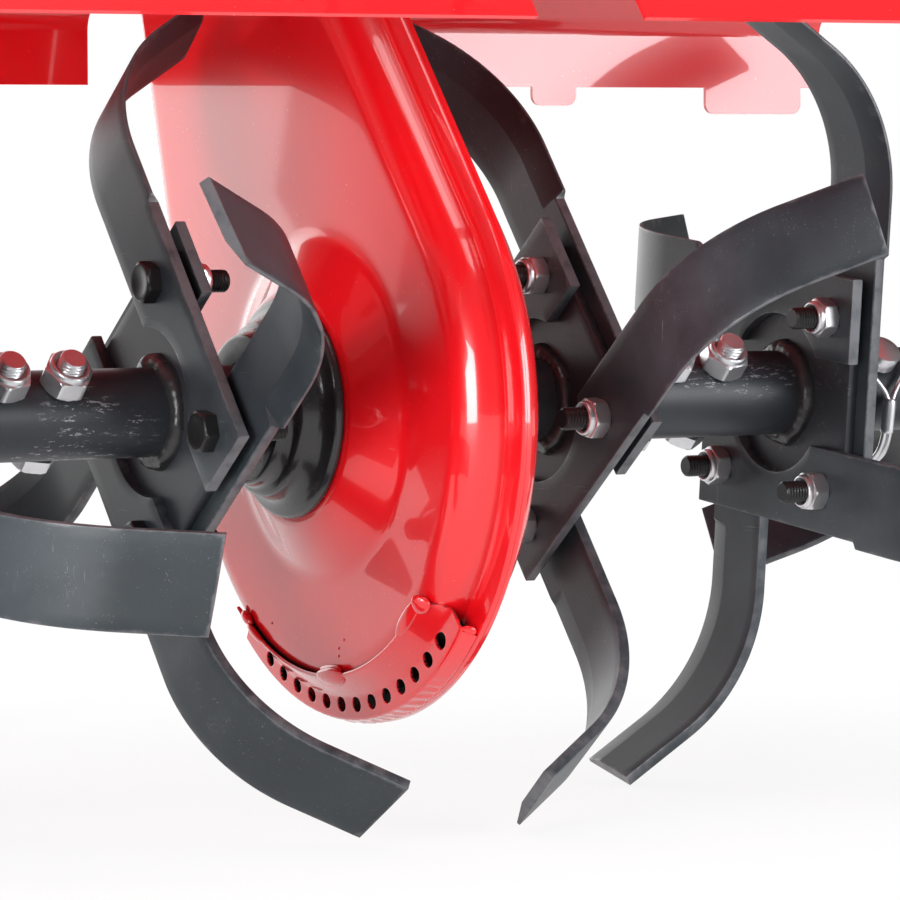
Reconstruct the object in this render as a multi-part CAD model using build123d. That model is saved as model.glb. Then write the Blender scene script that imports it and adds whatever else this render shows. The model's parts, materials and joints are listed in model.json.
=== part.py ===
from build123d import *
import os
from math import asin, atan2, cos, degrees, floor, pi, radians, sin

os.makedirs("parts", exist_ok=True)

# Fits between pieces
slip_gap = 0.15
running_gap = 0.08
free_gap = 0.4
sheet_gap = 0.3

# Tine tubes, holder plates and the shaft inside them
tube_radius = 19.0
tube_wall = 4.0
tube_joint = 300.0
outer_tube_end = 372.0
spigot_length = 75.0
spigot_web = 10.0
plate_size = 100.0
plate_thickness = 5.0
plate_corner = 5.0
plate_places = (95.9, 224.5, 353.0)
bolt_square = 78.1
weld_leg = 5.0
shaft_end = 190.0

# Sickle tines, measured along the bar (u) and out from the shaft (v)
tine_thickness = 5.0
tine_inner_edge = 20.0
tine_width = 38.0
tine_root = 56.0
tine_notch_radius = 36.0
blade_start = 67.0
blade_step = 3.0
bend_start = 95.0
bend_radius = 77.0
bend_angle = 57.0
tail_length = 38.0
tip_slant = 5.0
bevel_width = 13.0
bevel_depth = 3.4

# Angle of the first tine on each plate's outer face, for the plates from the case outwards
outer_face_angles = {"right": (140.6, 95.6, 50.6), "left": (140.6, 5.6, 50.6)}

# Fasteners
tine_bolt_radius = 5.0
tine_bolt_length = 35.0
tine_bolt_flats = 16.0
tine_head_height = 6.4
tine_nut_height = 7.6
nut_collar_height = 2.6
hub_bolt_radius = 6.0
hub_bolt_flats = 19.0
hub_head_height = 7.5
hub_nut_height = 9.5
hub_bolt_tail = 4.0
hub_bolt_places = (150.0, 178.0)
hub_bolt_angle = 135.0
thread_pitch = 1.75
thread_depth = 0.6

# Lock pin and its wire bail
pin_place = 264.5
pin_radius = 5.0
pin_head_radius = 8.0
pin_head_height = 8.5
pin_tip = 3.0
bail_clearance = 4.0
bail_wire_radius = 1.3
bail_spread = 10.0
bail_sleeve_radius = 3.2

# Bail wire below its hinge, as angle about the shaft and distance off the tube
bail_knee = (157.0, 4.2)
bail_sleeve_ends = ((187.3, 4.7), (221.7, 9.1))
bail_loop = ((241.0, 13.5), (262.0, 15.0), (283.0, 13.5), (303.0, 9.0))

# Chain case
case_lean = 27.5
shaft_distance = 380.0
case_rim_radius = 137.0
case_top_rim_radius = 55.0
rim_lip = 12.0
case_half_width = 20.4
shoulder_radius = 17.0
case_wall = 2.5
boss_base_radius = 73.8
boss_top_radius = 50.0
boss_height = 14.1
boss_blend = 7.0

# Bottom skid, with its bends given along X and outwards from the middle of the shoulder's arc
skid_wall = 1.5
skid_start = 221.0
skid_end = 307.5
skid_edge = (17.63, 7.0)
skid_bend = (7.33, 16.62)
skid_fold = (6.13, 26.0)
skid_lip = 27.6
skid_bend_radius = 3.0
skid_hole_radius = 3.0
skid_hole_height = 3.9
skid_hole_count = 13
skid_first_hole = 227.5
skid_hole_step = 5.82
skid_tacks = (224.5, 229.5, 264.1, 301.5)
tack_radius = 4.0

# Bearings, seals and caps
bearing_wall = 12.5
bearing_width = 13.0
seal_width = 7.0
seal_wall = 9.0
cap_wall = 3.0
cap_flange_radius = 47.5
cap_flange_width = 4.0
cap_step_radius = 37.5
cap_nose_radius = 32.0
cap_nose_width = 7.0
cap_spigot = 6.0

# Chain and sprockets
chain_pitch = 12.7
roller_radius = 4.2
link_half_height = 5.5
link_plate = 1.4
sprocket_width = 7.0
output_teeth = 50
input_teeth = 10
sprocket_hub_radius = 28.0
sprocket_hub_half = 12.0

# Input shaft and belt drive
input_shaft_radius = 10.0
input_bearing_wall = 13.5
input_bearing_width = 13.0
collar_wall = 6.5
belt_place = 126.0
belt_width = 12.0
belt_height = 8.0
pulley_half_width = 10.0
driven_radius = 95.0
crank_pulley_radius = 32.0
idler_radius = 24.0
idler_gap = 4.0
idler_arm_width = 4.0

# Engine deck and cheeks
deck_gap = 8.0
deck_plate = 4.0
deck_half_width = 100.0
deck_front = -95.0
deck_behind_case = 79.53553
cheek_plate = 5.0
frame_bolt_drops = (50.0, 88.0, 126.0)
frame_bolt_radius = 5.0
frame_bolt_flats = 16.0
guard_plate = 3.0
cover_margin = 16.0
cover_corner = 9.0

# Fenders
fender_sheet = 2.0
fender_clearance = 14.0
fender_reach = 385.0
fender_front = -185.0
fender_rear = 205.0
fender_front_drop = 46.0
lip_over_bolt = 14.83947
skirt_bottom = 140.0
skirt_tabs = ((216.0, 241.0, 131.0), (317.0, 374.0, 127.0))

# Engine
crank_forward = 55.0
crank_height = 106.0
crank_radius = 10.0
block_half_width = 68.0
block_half_depth = 70.0
block_height = 160.0
cylinder_lean = 25.0
fin_count = 12
fin_pitch = 7.0
fin_thickness = 2.4
fin_half_width = 49.0
fin_start = 80.0
port_radius = 13.0
port_reach = 54.0
port_drop = 22.0
port_places = (-34.0, 34.0)
shroud_depth = 42.0
shroud_radius = 92.0
flywheel_radius = 68.0
recoil_radius = 78.0
recoil_depth = 30.0
tank_size = (146.0, 125.0, 74.0)
tank_foot = 22.0
cap_radius = 27.0

# Front transport wheel
wheel_pivot = (-200.0, 330.0)
wheel_arm_length = 347.0
wheel_arm_raised = 85.0
wheel_radius = 95.0
wheel_half_width = 22.0
rim_radius = 62.0
arm_bar = 6.0
pivot_bolt_radius = 6.0

# Handlebars
handle_pivot_y = 235.0
handle_pivot_rise = 45.0
handle_radius = 14.0
handle_path = ((17.0, 8.0, 4.3), (30.0, 95.0, 51.0), (240.0, 545.0, 311.0), (255.0, 725.0, 341.0))
handle_bend = 60.0
brace_radius = 9.0
grip_length = 125.0
grip_wall = 4.0
ear_plate = 5.0
ear_half_gap = 40.0

# Depth stake
stake_y = 411.0
stake_width = 30.0
stake_thickness = 12.0
socket_wall = 6.0
socket_height = 104.0
stake_top = 100.0

# Worked out from the sizes above
tube_bore = tube_radius - tube_wall
shaft_radius = tube_bore - slip_gap
tine_stack = plate_thickness + 2 * tine_thickness
boss_top = case_half_width + boss_height
bearing_radius = shaft_radius + bearing_wall
cap_spigot_radius = bearing_radius + cap_wall
bearing_inner_face = boss_top - cap_spigot + 1.0
bearing_outer_face = bearing_inner_face + bearing_width
seal_outer_face = bearing_outer_face + 0.6 + seal_width
cap_end = seal_outer_face + 1.0 + cap_nose_width
tube_inner_end = seal_outer_face + 1.5
lean = radians(case_lean)
case_axis = Vector(0, sin(lean), cos(lean))
case_across = Vector(0, cos(lean), -sin(lean))
top_shaft = case_axis * shaft_distance
body_radius = case_rim_radius - rim_lip
top_body_radius = case_top_rim_radius - rim_lip
deck_bottom = top_shaft.Z + case_top_rim_radius + deck_gap
deck_top = deck_bottom + deck_plate
deck_rear = top_shaft.Y + deck_behind_case
crank_z = deck_top + crank_height
crank = Vector(0, crank_forward, crank_z)
cheek_face = case_half_width + cheek_plate
pulley_shaft_end = belt_place + 1.6 * pulley_half_width
tine_tip_reach = bend_start + bend_radius * sin(radians(bend_angle)) + tail_length * cos(radians(bend_angle))
sweep_radius = ((tine_tip_reach + tine_thickness) ** 2 + (tine_inner_edge + tine_width) ** 2) ** 0.5
fender_top = sweep_radius + fender_clearance

MIN_Z = (Align.CENTER, Align.CENTER, Align.MIN)


def radial(angle, radius=1.0, x=0.0):
    """Point at an angle about the shaft, counted from the rear (+Y) upwards."""
    return Vector(x, radius * cos(radians(angle)), radius * sin(radians(angle)))


def rod(start, end, radius):
    """Round bar between two points."""
    start = Vector(start)
    run = Vector(end) - start
    return Plane(origin=start, z_dir=run) * Cylinder(radius, run.length, align=MIN_Z)


def bar_x(x0, x1, centre, radius):
    """Round bar along X through a point of the side view."""
    return rod((x0, centre.Y, centre.Z), (x1, centre.Y, centre.Z), radius)


def hex_bar(start, end, flats):
    """Hexagonal bar between two points, with its corners turned down at the far end."""
    start = Vector(start)
    run = Vector(end) - start
    bar = extrude(RegularPolygon(flats / 2, 6, major_radius=False), run.length)
    top_radius = 0.48 * flats
    crown = Cone(top_radius + 1.73 * run.length, top_radius, run.length, align=MIN_Z)
    return Plane(origin=start, z_dir=run) * (bar & crown)


def block(x, y, z):
    """Box from the low and high limit on each axis."""
    size = Box(x[1] - x[0], y[1] - y[0], z[1] - z[0])
    return Pos((x[0] + x[1]) / 2, (y[0] + y[1]) / 2, (z[0] + z[1]) / 2) * size


def turned(points):
    """Solid turned about the X axis from (x, radius) points."""
    return revolve(make_face(Polyline(*points, close=True)), Axis.X, 360)


def side_plate(x0, x1, outline):
    """Plate between two X places from a face drawn in (y, z)."""
    plane = Plane(origin=(x0, 0, 0), x_dir=(0, 1, 0), z_dir=(1, 0, 0))
    return plane * extrude(outline, x1 - x0)


def strap(first, second):
    """Face round two circles, each (y, z, radius)."""
    circles = [Pos(y, z) * Circle(radius) for y, z, radius in (first, second)]
    return make_hull([circle.edge() for circle in circles])


def mirrored(solid):
    return mirror(solid, Plane.YZ)


nodes = {}


# Output shaft with its through-bolt holes
def hub_holes(side, radius):
    """Round cutters along the through-bolts of one side."""
    reach = 3 * tube_radius
    ends = [(radial(hub_bolt_angle, reach, side * x), radial(hub_bolt_angle + 180, reach, side * x))
            for x in hub_bolt_places]
    return [rod(start, end, radius) for start, end in ends]


def output_shaft():
    shaft = rod((-shaft_end, 0, 0), (shaft_end, 0, 0), shaft_radius)
    for side in (-1, 1):
        shaft -= hub_holes(side, hub_bolt_radius + slip_gap)
    return shaft


# Sprockets and chain, drawn across the case (x) and up its leaning axis (y)
def pitch_radius(teeth):
    return chain_pitch / (2 * sin(pi / teeth))


output_pitch = pitch_radius(output_teeth)
input_pitch = pitch_radius(input_teeth)
chain_taper = degrees(asin((output_pitch - input_pitch) / shaft_distance))
output_links = floor((180 + 2 * chain_taper) / (360 / output_teeth))
input_links = floor((180 - 2 * chain_taper) / (360 / input_teeth))


def case_plane(x):
    return Plane(origin=(x, 0, 0), x_dir=case_across, z_dir=(1, 0, 0))


def seats(teeth, links, centre, middle):
    """Roller places round one sprocket, evenly about the angle that faces away from the other."""
    step = 360 / teeth
    angles = [radians(middle + (k - links / 2) * step) for k in range(links + 1)]
    radius = pitch_radius(teeth)
    return [Vector(radius * cos(a), centre + radius * sin(a)) for a in angles]


def run_between(start, end):
    """Roller places strictly between two seated rollers, evenly spread."""
    count = round((end - start).length / chain_pitch)
    return [start + (end - start) * (k / count) for k in range(1, count)]


low_seats = seats(output_teeth, output_links, 0, -90)
high_seats = seats(input_teeth, input_links, shaft_distance, 90)
rollers = low_seats + run_between(low_seats[-1], high_seats[0])
rollers += high_seats + run_between(high_seats[-1], low_seats[0])


def sprocket_face(teeth, seat_list, centre):
    """Toothed disc face whose gaps lie on the seated rollers."""
    first = seat_list[0] - Vector(0, centre)
    half = roller_radius + slip_gap
    height = 0.2 * chain_pitch
    flare = 0.7 * 2 * height
    mouth = [(0, -half), (2 * height, -half - flare), (2 * height, half + flare), (0, half)]
    gap = Circle(half) + make_face(Polyline(*mouth, close=True))
    start = degrees(atan2(first.Y, first.X))
    step = 360 / teeth
    radius = pitch_radius(teeth)
    disc = Circle(radius + height)
    disc -= [Rot(Z=start + k * step) * Pos(radius, 0) * gap for k in range(teeth)]
    return Pos(0, centre) * disc - [Pos(p.X, p.Y) * Circle(half) for p in rollers]


def output_sprocket():
    disc = sprocket_face(output_teeth, low_seats, 0)
    middle = (sprocket_hub_radius + output_pitch) / 2
    disc -= PolarLocations(middle, 6) * Circle(0.26 * output_pitch)
    solid = case_plane(-sprocket_width / 2) * extrude(disc, sprocket_width)
    solid += rod((-sprocket_hub_half, 0, 0), (sprocket_hub_half, 0, 0), sprocket_hub_radius)
    return solid - rod((-sprocket_hub_half, 0, 0), (sprocket_hub_half, 0, 0), shaft_radius + slip_gap)


def input_shaft():
    disc = sprocket_face(input_teeth, high_seats, shaft_distance)
    solid = case_plane(-sprocket_width / 2) * extrude(disc, sprocket_width)
    return solid + bar_x(-case_half_width - 16, pulley_shaft_end, top_shaft, input_shaft_radius)


def drive_chain():
    """Two closed bands of link plates joined by a roller at every pitch."""
    loop = make_face(Polyline(*rollers, close=True))
    band = offset(loop, link_half_height, kind=Kind.INTERSECTION)
    band -= offset(loop, -link_half_height, kind=Kind.INTERSECTION)
    plate_face = sprocket_width / 2 + 2 * sheet_gap
    pieces = [case_plane(x) * extrude(band, link_plate) for x in (plate_face, -plate_face - link_plate)]
    half = plate_face + link_plate / 2
    ends = Sketch() + [Pos(p.X, p.Y) * Circle(roller_radius) for p in rollers]
    return pieces[0] + pieces[1] + case_plane(-half) * extrude(ends, 2 * half)


nodes["output_shaft"] = output_shaft()
nodes["output_sprocket"] = output_sprocket()
nodes["input_shaft"] = input_shaft()
nodes["drive_chain"] = drive_chain()


# Tine tubes with their welded holder plates
def holder_plate(x, angle):
    """Square plate on the tube, with a bolt hole near each corner and a weld bead on each side."""
    face = RectangleRounded(plate_size, plate_size, plate_corner)
    face -= GridLocations(bolt_square, bolt_square, 2, 2) * Circle(tine_bolt_radius + slip_gap)
    plane = Plane(origin=(x - plate_thickness / 2, 0, 0), x_dir=radial(angle), z_dir=(1, 0, 0))
    plate = plane * extrude(face, plate_thickness)
    for way in (-1, 1):
        toe = x + way * plate_thickness / 2
        bead = Line((toe, tube_radius), (toe, tube_radius + weld_leg))
        crown = ThreePointArc(
            (toe, tube_radius + weld_leg),
            (toe + way * 0.62 * weld_leg, tube_radius + 0.62 * weld_leg),
            (toe + way * weld_leg, tube_radius),
        )
        base = Line((toe + way * weld_leg, tube_radius), (toe, tube_radius))
        plate += revolve(make_face([bead, crown, base]), Axis.X, 360)
    return plate


def inner_tine_tube(side, angles):
    start, end = side * tube_inner_end, side * tube_joint
    tube = rod((start, 0, 0), (end, 0, 0), tube_radius)
    for x, angle in zip(plate_places[:2], angles[:2]):
        tube += holder_plate(side * x, angle)
    tube -= rod((start, 0, 0), (end, 0, 0), tube_bore)
    tube -= hub_holes(side, hub_bolt_radius + slip_gap)
    return tube - pin_hole(side)


def pin_hole(side):
    x = side * pin_place
    return rod(radial(hub_bolt_angle, 2 * tube_radius, x), radial(hub_bolt_angle + 180, 2 * tube_radius, x),
               pin_radius + slip_gap)


def outer_tine_tube(side, angles):
    """Open tube with one plate, and a spigot that slides into the inner tube."""
    joint, end = side * (tube_joint + sheet_gap), side * outer_tube_end
    tube = rod((joint, 0, 0), (end, 0, 0), tube_radius)
    tube += rod((side * (tube_joint - spigot_length), 0, 0), (joint, 0, 0), tube_bore - slip_gap)
    tube += holder_plate(side * plate_places[2], angles[2])
    web = side * (tube_joint + sheet_gap + spigot_web)
    tube -= rod((side * (tube_joint - spigot_length), 0, 0), (web, 0, 0), tube_bore - tube_wall)
    tube -= rod((web, 0, 0), (end, 0, 0), tube_bore)
    return tube - pin_hole(side)


# Sickle tines
def tine_blank(start, width):
    """Bent flat bar from u = start to the tip, drawn in (u, across the plate) and standing up along v."""
    half = tine_thickness / 2
    turn = radians(bend_angle)
    far = (cos(turn) * tail_length, -sin(turn) * tail_length)

    def on_bend(radius, angle):
        return (bend_start + radius * sin(angle), -bend_radius + radius * cos(angle))

    outline = []
    for radius in (bend_radius + half, bend_radius - half):
        level = radius - bend_radius
        first, last = on_bend(radius, 0), on_bend(radius, turn)
        outline.append(Line((start, level), first))
        outline.append(ThreePointArc(first, on_bend(radius, turn / 2), last))
        outline.append(Line(last, (last[0] + far[0], last[1] + far[1])))
    outline.append(Line((start, half), (start, -half)))
    outline.append(Line(outline[2] @ 1, outline[5] @ 1))
    return Pos(0, 0, tine_inner_edge) * extrude(make_face(outline), width)


def tine():
    """Tine on the face towards local +y, which bends across its plate towards local -y."""
    half = tine_thickness / 2
    turn = radians(bend_angle)
    blade = tine_blank(blade_start, tine_width + blade_step)
    top = blade.faces().sort_by(Axis.Z)[-1]
    concave = [e for e in top.edges() if on_concave_side(e.center())]
    blade = chamfer(concave, length=bevel_depth, length2=bevel_width, reference=top)
    root = block((-tine_root, blade_start), (-half, half), (tine_inner_edge, tine_inner_edge + tine_width))
    bar = root + blade
    along = Vector(cos(turn), -sin(turn), 0)
    end = Vector(bend_start + bend_radius * sin(turn), -bend_radius + bend_radius * cos(turn), 0)
    end += along * tail_length
    cut = Plane(origin=end, x_dir=along, z_dir=(-sin(turn), -cos(turn), 0))
    top_edge = tine_inner_edge + tine_width + blade_step
    corners = ((0, tine_inner_edge), (-tip_slant, top_edge), (1, top_edge), (1, tine_inner_edge))
    slant = make_face(Polyline(*corners, close=True))
    bar -= cut * extrude(slant, 2 * tine_thickness, both=True)
    bar = Pos(0, (plate_thickness + tine_thickness) / 2, 0) * bar
    notch = rod((0, -tine_stack, 0), (0, tine_stack, 0), tine_notch_radius)
    holes = [Pos(u, 0, bolt_square / 2) * Rot(X=90) * Cylinder(tine_bolt_radius + slip_gap, 2 * tine_stack)
             for u in (-bolt_square / 2, bolt_square / 2)]
    return bar - notch - holes


def on_concave_side(point):
    """True for an edge on the inside of the bend."""
    half = tine_thickness / 2
    turn = radians(bend_angle)
    if point.X < blade_start + half:
        return False
    if point.X <= bend_start:
        return point.Y < -half / 2
    reach = Vector(point.X - bend_start, point.Y + bend_radius)
    if point.X <= bend_start + bend_radius * sin(turn) and reach.length < 2 * bend_radius:
        return reach.length < bend_radius - half / 2
    across = reach.X * sin(turn) + reach.Y * cos(turn) - bend_radius
    tip = reach.X * cos(turn) - reach.Y * sin(turn)
    return across < -half / 2 and tip < tail_length - half


right_face_tine = tine()
left_face_tine = mirror(right_face_tine, Plane.XZ)


def tine_set(side, place, outer_angle):
    """Two tines on the outer face of a plate and two on its inner face, a quarter turn on."""
    tines = []
    for k in range(4):
        angle = outer_angle + 90 * k
        outwards = k % 2 == 0
        faces_right = (side < 0) == outwards
        shape = right_face_tine if faces_right else left_face_tine
        plane = Plane(origin=(side * place, 0, 0), x_dir=radial(angle - 90), z_dir=radial(angle))
        tines.append(plane * shape)
    return Compound(children=tines)


# Bolts and nuts
def threaded_end(start, end, radius):
    """Bolt end with ring grooves for its thread, and a chamfered tip."""
    start = Vector(start)
    run = Vector(end) - start
    count = floor(run.length / thread_pitch)
    points = [(0, 0), (0, radius)]
    for k in range(count):
        points.append((thread_pitch * (k + 0.1), radius))
        points.append((thread_pitch * (k + 0.5), radius - thread_depth))
        points.append((thread_pitch * (k + 0.9), radius))
    points.append((run.length, radius - thread_depth))
    points.append((run.length, 0))
    shape = turned(points)
    return Plane(origin=start, z_dir=run) * (Rot(Y=-90) * shape)


def bolt(seat, way, radius, length, flats, head, tail):
    """Hex bolt whose head bears on the seat, with its shank going the given way."""
    seat, way = Vector(seat), Vector(way)
    solid = hex_bar(seat, seat - way * head, flats)
    solid += rod(seat, seat + way * (length - tail), radius)
    return solid + threaded_end(seat + way * (length - tail), seat + way * length, radius)


def lock_nut(seat, way, radius, flats, height):
    """Hex nut with a rounded collar that grips the thread."""
    seat, way = Vector(seat), Vector(way)
    solid = hex_bar(seat, seat + way * height, flats)
    collar = rod(seat, seat + way * (height + nut_collar_height), 0.44 * flats)
    top = collar.edges().sort_by(lambda e: (e.center() - seat).dot(way))[-1]
    solid += fillet(top, 0.7 * nut_collar_height)
    return solid - rod(seat - way, seat + way * (height + nut_collar_height + 1), radius + slip_gap / 2)


sides = {"right": -1, "left": 1}
tine_bolts, tine_nuts = [], []
hub_fasteners, lock_pins = [], []
for name, side in sides.items():
    angles = outer_face_angles[name]
    nodes[name + "_inner_tine_tube"] = inner_tine_tube(side, angles)
    nodes[name + "_outer_tine_tube"] = outer_tine_tube(side, angles)
    for row, place, angle in zip(("inner", "middle", "outer"), plate_places, angles):
        nodes[f"{name}_{row}_tines"] = tine_set(side, place, angle)
        for k in range(4):
            corner = radial(angle + 45 + 90 * k, bolt_square / 2 * 2 ** 0.5)
            head_seat = Vector(side * (place + tine_stack / 2), corner.Y, corner.Z)
            nut_seat = Vector(side * (place - tine_stack / 2), corner.Y, corner.Z)
            inwards = Vector(-side, 0, 0)
            tail = tine_bolt_length - tine_stack
            tine_bolts.append(bolt(head_seat, inwards, tine_bolt_radius, tine_bolt_length, tine_bolt_flats,
                                   tine_head_height, tail))
            tine_nuts.append(lock_nut(nut_seat, inwards, tine_bolt_radius, tine_bolt_flats, tine_nut_height))
    for x in hub_bolt_places:
        up = radial(hub_bolt_angle)
        seat = Vector(side * x, 0, 0) - up * tube_radius
        tail = hub_nut_height + nut_collar_height + hub_bolt_tail
        hub_fasteners.append(bolt(seat, up, hub_bolt_radius, 2 * tube_radius + tail, hub_bolt_flats,
                                  hub_head_height, tail))
        hub_fasteners.append(lock_nut(Vector(side * x, 0, 0) + up * tube_radius, up, hub_bolt_radius,
                                      hub_bolt_flats, hub_nut_height))

nodes["tine_bolts"] = Compound(children=tine_bolts)
nodes["tine_nuts"] = Compound(children=tine_nuts)
nodes["hub_fasteners"] = Compound(children=hub_fasteners)


# Lock pins and their wire bails
def lock_pin(side):
    """Pin through both tubes, with a round head on the near side."""
    x = side * pin_place
    seat = radial(hub_bolt_angle, tube_radius + 0.5, x)
    solid = rod(radial(hub_bolt_angle, -tube_radius - pin_tip, x), seat, pin_radius)
    return solid + rod(seat, radial(hub_bolt_angle, tube_radius + pin_head_height, x), pin_head_radius)


bail_ring = tube_radius + bail_clearance


def lock_bail(side):
    """Wire hinged at the pin head, doubled through a straight sleeve and looped under the tube."""
    x = side * pin_place
    pair = 1.15 * bail_wire_radius
    sleeve = [radial(angle, tube_radius + off, x) for angle, off in bail_sleeve_ends]
    loop = [radial(angle, tube_radius + off, x) for angle, off in bail_loop]
    wire = [rod(*sleeve, bail_sleeve_radius)]
    for way in (-1, 1):
        stub = radial(hub_bolt_angle, bail_ring, x + way * (pin_head_radius + sheet_gap))
        hinge = radial(hub_bolt_angle, bail_ring, x + way * bail_spread)
        knee = radial(bail_knee[0], tube_radius + bail_knee[1], x + way * bail_spread)
        path = [stub, hinge, knee] + [point + Vector(way * pair, 0, 0) for point in sleeve + loop]
        wire += [rod(*ends, bail_wire_radius) for ends in zip(path, path[1:])]
        wire += [Pos(point) * Sphere(bail_wire_radius) for point in path[1:]]
    across = Vector(pair, 0, 0)
    return rod(loop[-1] - across, loop[-1] + across, bail_wire_radius) + wire


for name, side in sides.items():
    lock_pins.append(lock_pin(side))
    nodes[name + "_lock_bail"] = lock_bail(side)
nodes["lock_pins"] = Compound(children=lock_pins)


# Chain case shells
def case_face(grow):
    """Side outline of the case: two round ends joined by straight flanks."""
    low = (0, 0, body_radius + grow)
    high = (0, shaft_distance, top_body_radius + grow)
    return strap(low, high)


def case_solid(inset):
    """Filled half of the case, inset evenly from its outer surface."""
    height = case_half_width - inset
    half = case_plane(0) * extrude(case_face(-inset), height)
    half = fillet(half.faces().sort_by(Axis.X)[-1].edges(), shoulder_radius - inset)
    boss = turned([
        (height - 1, 0),
        (height - 1, boss_base_radius - 0.7 * inset),
        (height, boss_base_radius - 0.7 * inset),
        (boss_top - inset, boss_top_radius - 0.7 * inset),
        (boss_top - inset, 0),
    ])
    half += boss
    base = [e for e in half.edges().filter_by(GeomType.CIRCLE)
            if abs(e.center().X - height) < 0.01 and abs(e.radius - boss_base_radius + 0.7 * inset) < 0.01]
    return fillet(base, boss_blend)


case_filled = case_solid(0)


def case_shell():
    """Pressed half with its seam lip, the bored boss and the collar of the upper bearing."""
    shell = case_filled
    collar_end = case_half_width + input_bearing_width
    collar_radius = input_shaft_radius + input_bearing_wall + collar_wall
    shell += bar_x(case_half_width - case_wall, collar_end, top_shaft, collar_radius)
    shell -= case_solid(case_wall)
    shell += case_plane(0) * extrude(case_face(rim_lip) - case_face(-case_wall), case_wall)
    shell -= rod((0, 0, 0), (2 * boss_top, 0, 0), cap_spigot_radius + slip_gap)
    shell -= bar_x(0, collar_end, top_shaft, input_shaft_radius + input_bearing_wall + slip_gap)
    for drop in frame_bolt_drops:
        shell -= bar_x(0, 2 * case_half_width, top_shaft - case_axis * drop, frame_bolt_radius + slip_gap)
    return Pos(slip_gap / 2, 0, 0) * shell


nodes["case_left_shell"] = case_shell()
nodes["case_right_shell"] = mirrored(nodes["case_left_shell"])


# Bottom skid: a perforated strip on the right side of the seam lip, with its tack welds
def skid_strip():
    """Bent sheet round the shoulder of the case: a leaning ledge, an upright face with holes, and a foot to the lip."""
    arch = Vector(case_half_width - shoulder_radius + slip_gap / 2, body_radius - shoulder_radius)
    edge = arch + Vector(*skid_edge)
    bend = arch + Vector(*skid_bend)
    fold = arch + Vector(*skid_fold)
    lip = Vector(case_wall + 1.5 * slip_gap, arch.Y + skid_lip)
    line = FilletPolyline(edge, bend, fold, lip, radius=skid_bend_radius)
    section = make_face(offset(line, skid_wall, side=Side.RIGHT))
    strip = Rot(X=skid_start) * revolve(section, Axis.X, skid_end - skid_start)
    along = (fold - bend).normalized()
    wall = Vector(along.Y, -along.X) * skid_wall
    hole = bend + along * skid_hole_height
    drill = rod(hole - 2 * wall, hole + 3 * wall, skid_hole_radius)
    strip -= [Rot(X=skid_first_hole + k * skid_hole_step) * drill for k in range(skid_hole_count)]
    tack = arch + (edge - arch).normalized() * (shoulder_radius + tack_radius + slip_gap)
    for angle in skid_tacks:
        strip += Pos(radial(angle, tack.Y, tack.X)) * Sphere(tack_radius)
    return strip


nodes["case_skid"] = mirrored(skid_strip())


# Bearing caps, bearings and seals of the output shaft, one of each per side
def pair(solid):
    return Compound(children=[solid, mirrored(solid)])


def bearing_cap():
    """Stepped cap: spigot in the boss, flange on it, pockets for bearing and seal, nose round the tube."""
    flange_end = boss_top + cap_flange_width
    nose_start = cap_end - cap_nose_width
    seal_radius = shaft_radius + seal_wall
    return turned([
        (boss_top - cap_spigot, cap_spigot_radius),
        (boss_top + sheet_gap / 3, cap_spigot_radius),
        (boss_top + sheet_gap / 3, cap_flange_radius),
        (flange_end, cap_flange_radius),
        (flange_end + 5.0, cap_step_radius + 1.0),
        (nose_start - 1.5, cap_step_radius),
        (nose_start, cap_nose_radius + 1.0),
        (cap_end, cap_nose_radius),
        (cap_end, tube_radius + free_gap),
        (seal_outer_face + slip_gap, tube_radius + free_gap),
        (seal_outer_face + slip_gap, seal_radius + slip_gap),
        (bearing_outer_face + slip_gap, seal_radius + slip_gap),
        (bearing_outer_face + slip_gap, bearing_radius + slip_gap),
        (boss_top - cap_spigot, bearing_radius + slip_gap),
    ])


def sleeve(x0, x1, centre, outer, bore):
    return bar_x(x0, x1, centre, outer) - bar_x(x0, x1, centre, bore)


axle = Vector(0, 0, 0)
nodes["bearing_caps"] = pair(bearing_cap())
nodes["shaft_bearings"] = pair(sleeve(bearing_inner_face, bearing_outer_face, axle, bearing_radius,
                                      shaft_radius + running_gap))
nodes["shaft_seals"] = pair(sleeve(bearing_outer_face + 2 * slip_gap, seal_outer_face, axle,
                                   shaft_radius + seal_wall, shaft_radius + running_gap))
nodes["input_bearings"] = pair(sleeve(case_half_width, case_half_width + input_bearing_width, top_shaft,
                                      input_shaft_radius + input_bearing_wall,
                                      input_shaft_radius + running_gap))


# Pulleys and belt
def pulley(centre, radius, web):
    """Grooved pulley, with a thinner web and round windows when it is large."""
    groove = radius - belt_height - 1.0
    x0, x1 = belt_place - pulley_half_width, belt_place + pulley_half_width
    solid = bar_x(x0, x1, centre, radius)
    floor_x = belt_width / 2 + sheet_gap
    solid -= sleeve(belt_place - floor_x, belt_place + floor_x, centre, radius + 1, groove)
    if web:
        hub = 2.4 * input_shaft_radius
        for a, b in ((x0, belt_place - web / 2), (belt_place + web / 2, x1)):
            solid -= sleeve(a, b, centre, groove - 8.0, hub)
        middle = (hub + groove - 8.0) / 2
        for k in range(5):
            hole = centre + radial(72 * k, middle)
            solid -= bar_x(x0, x1, hole, 0.34 * (groove - hub))
    return solid


belt_seat_driven = driven_radius - belt_height - 1.0 + sheet_gap
belt_seat_crank = crank_pulley_radius - belt_height - 1.0 + sheet_gap


def drive_belt():
    inner = strap((top_shaft.Y, top_shaft.Z, belt_seat_driven), (crank.Y, crank.Z, belt_seat_crank))
    outer = strap((top_shaft.Y, top_shaft.Z, belt_seat_driven + belt_height),
                  (crank.Y, crank.Z, belt_seat_crank + belt_height))
    return side_plate(belt_place - belt_width / 2, belt_place + belt_width / 2, outer - inner)


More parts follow.
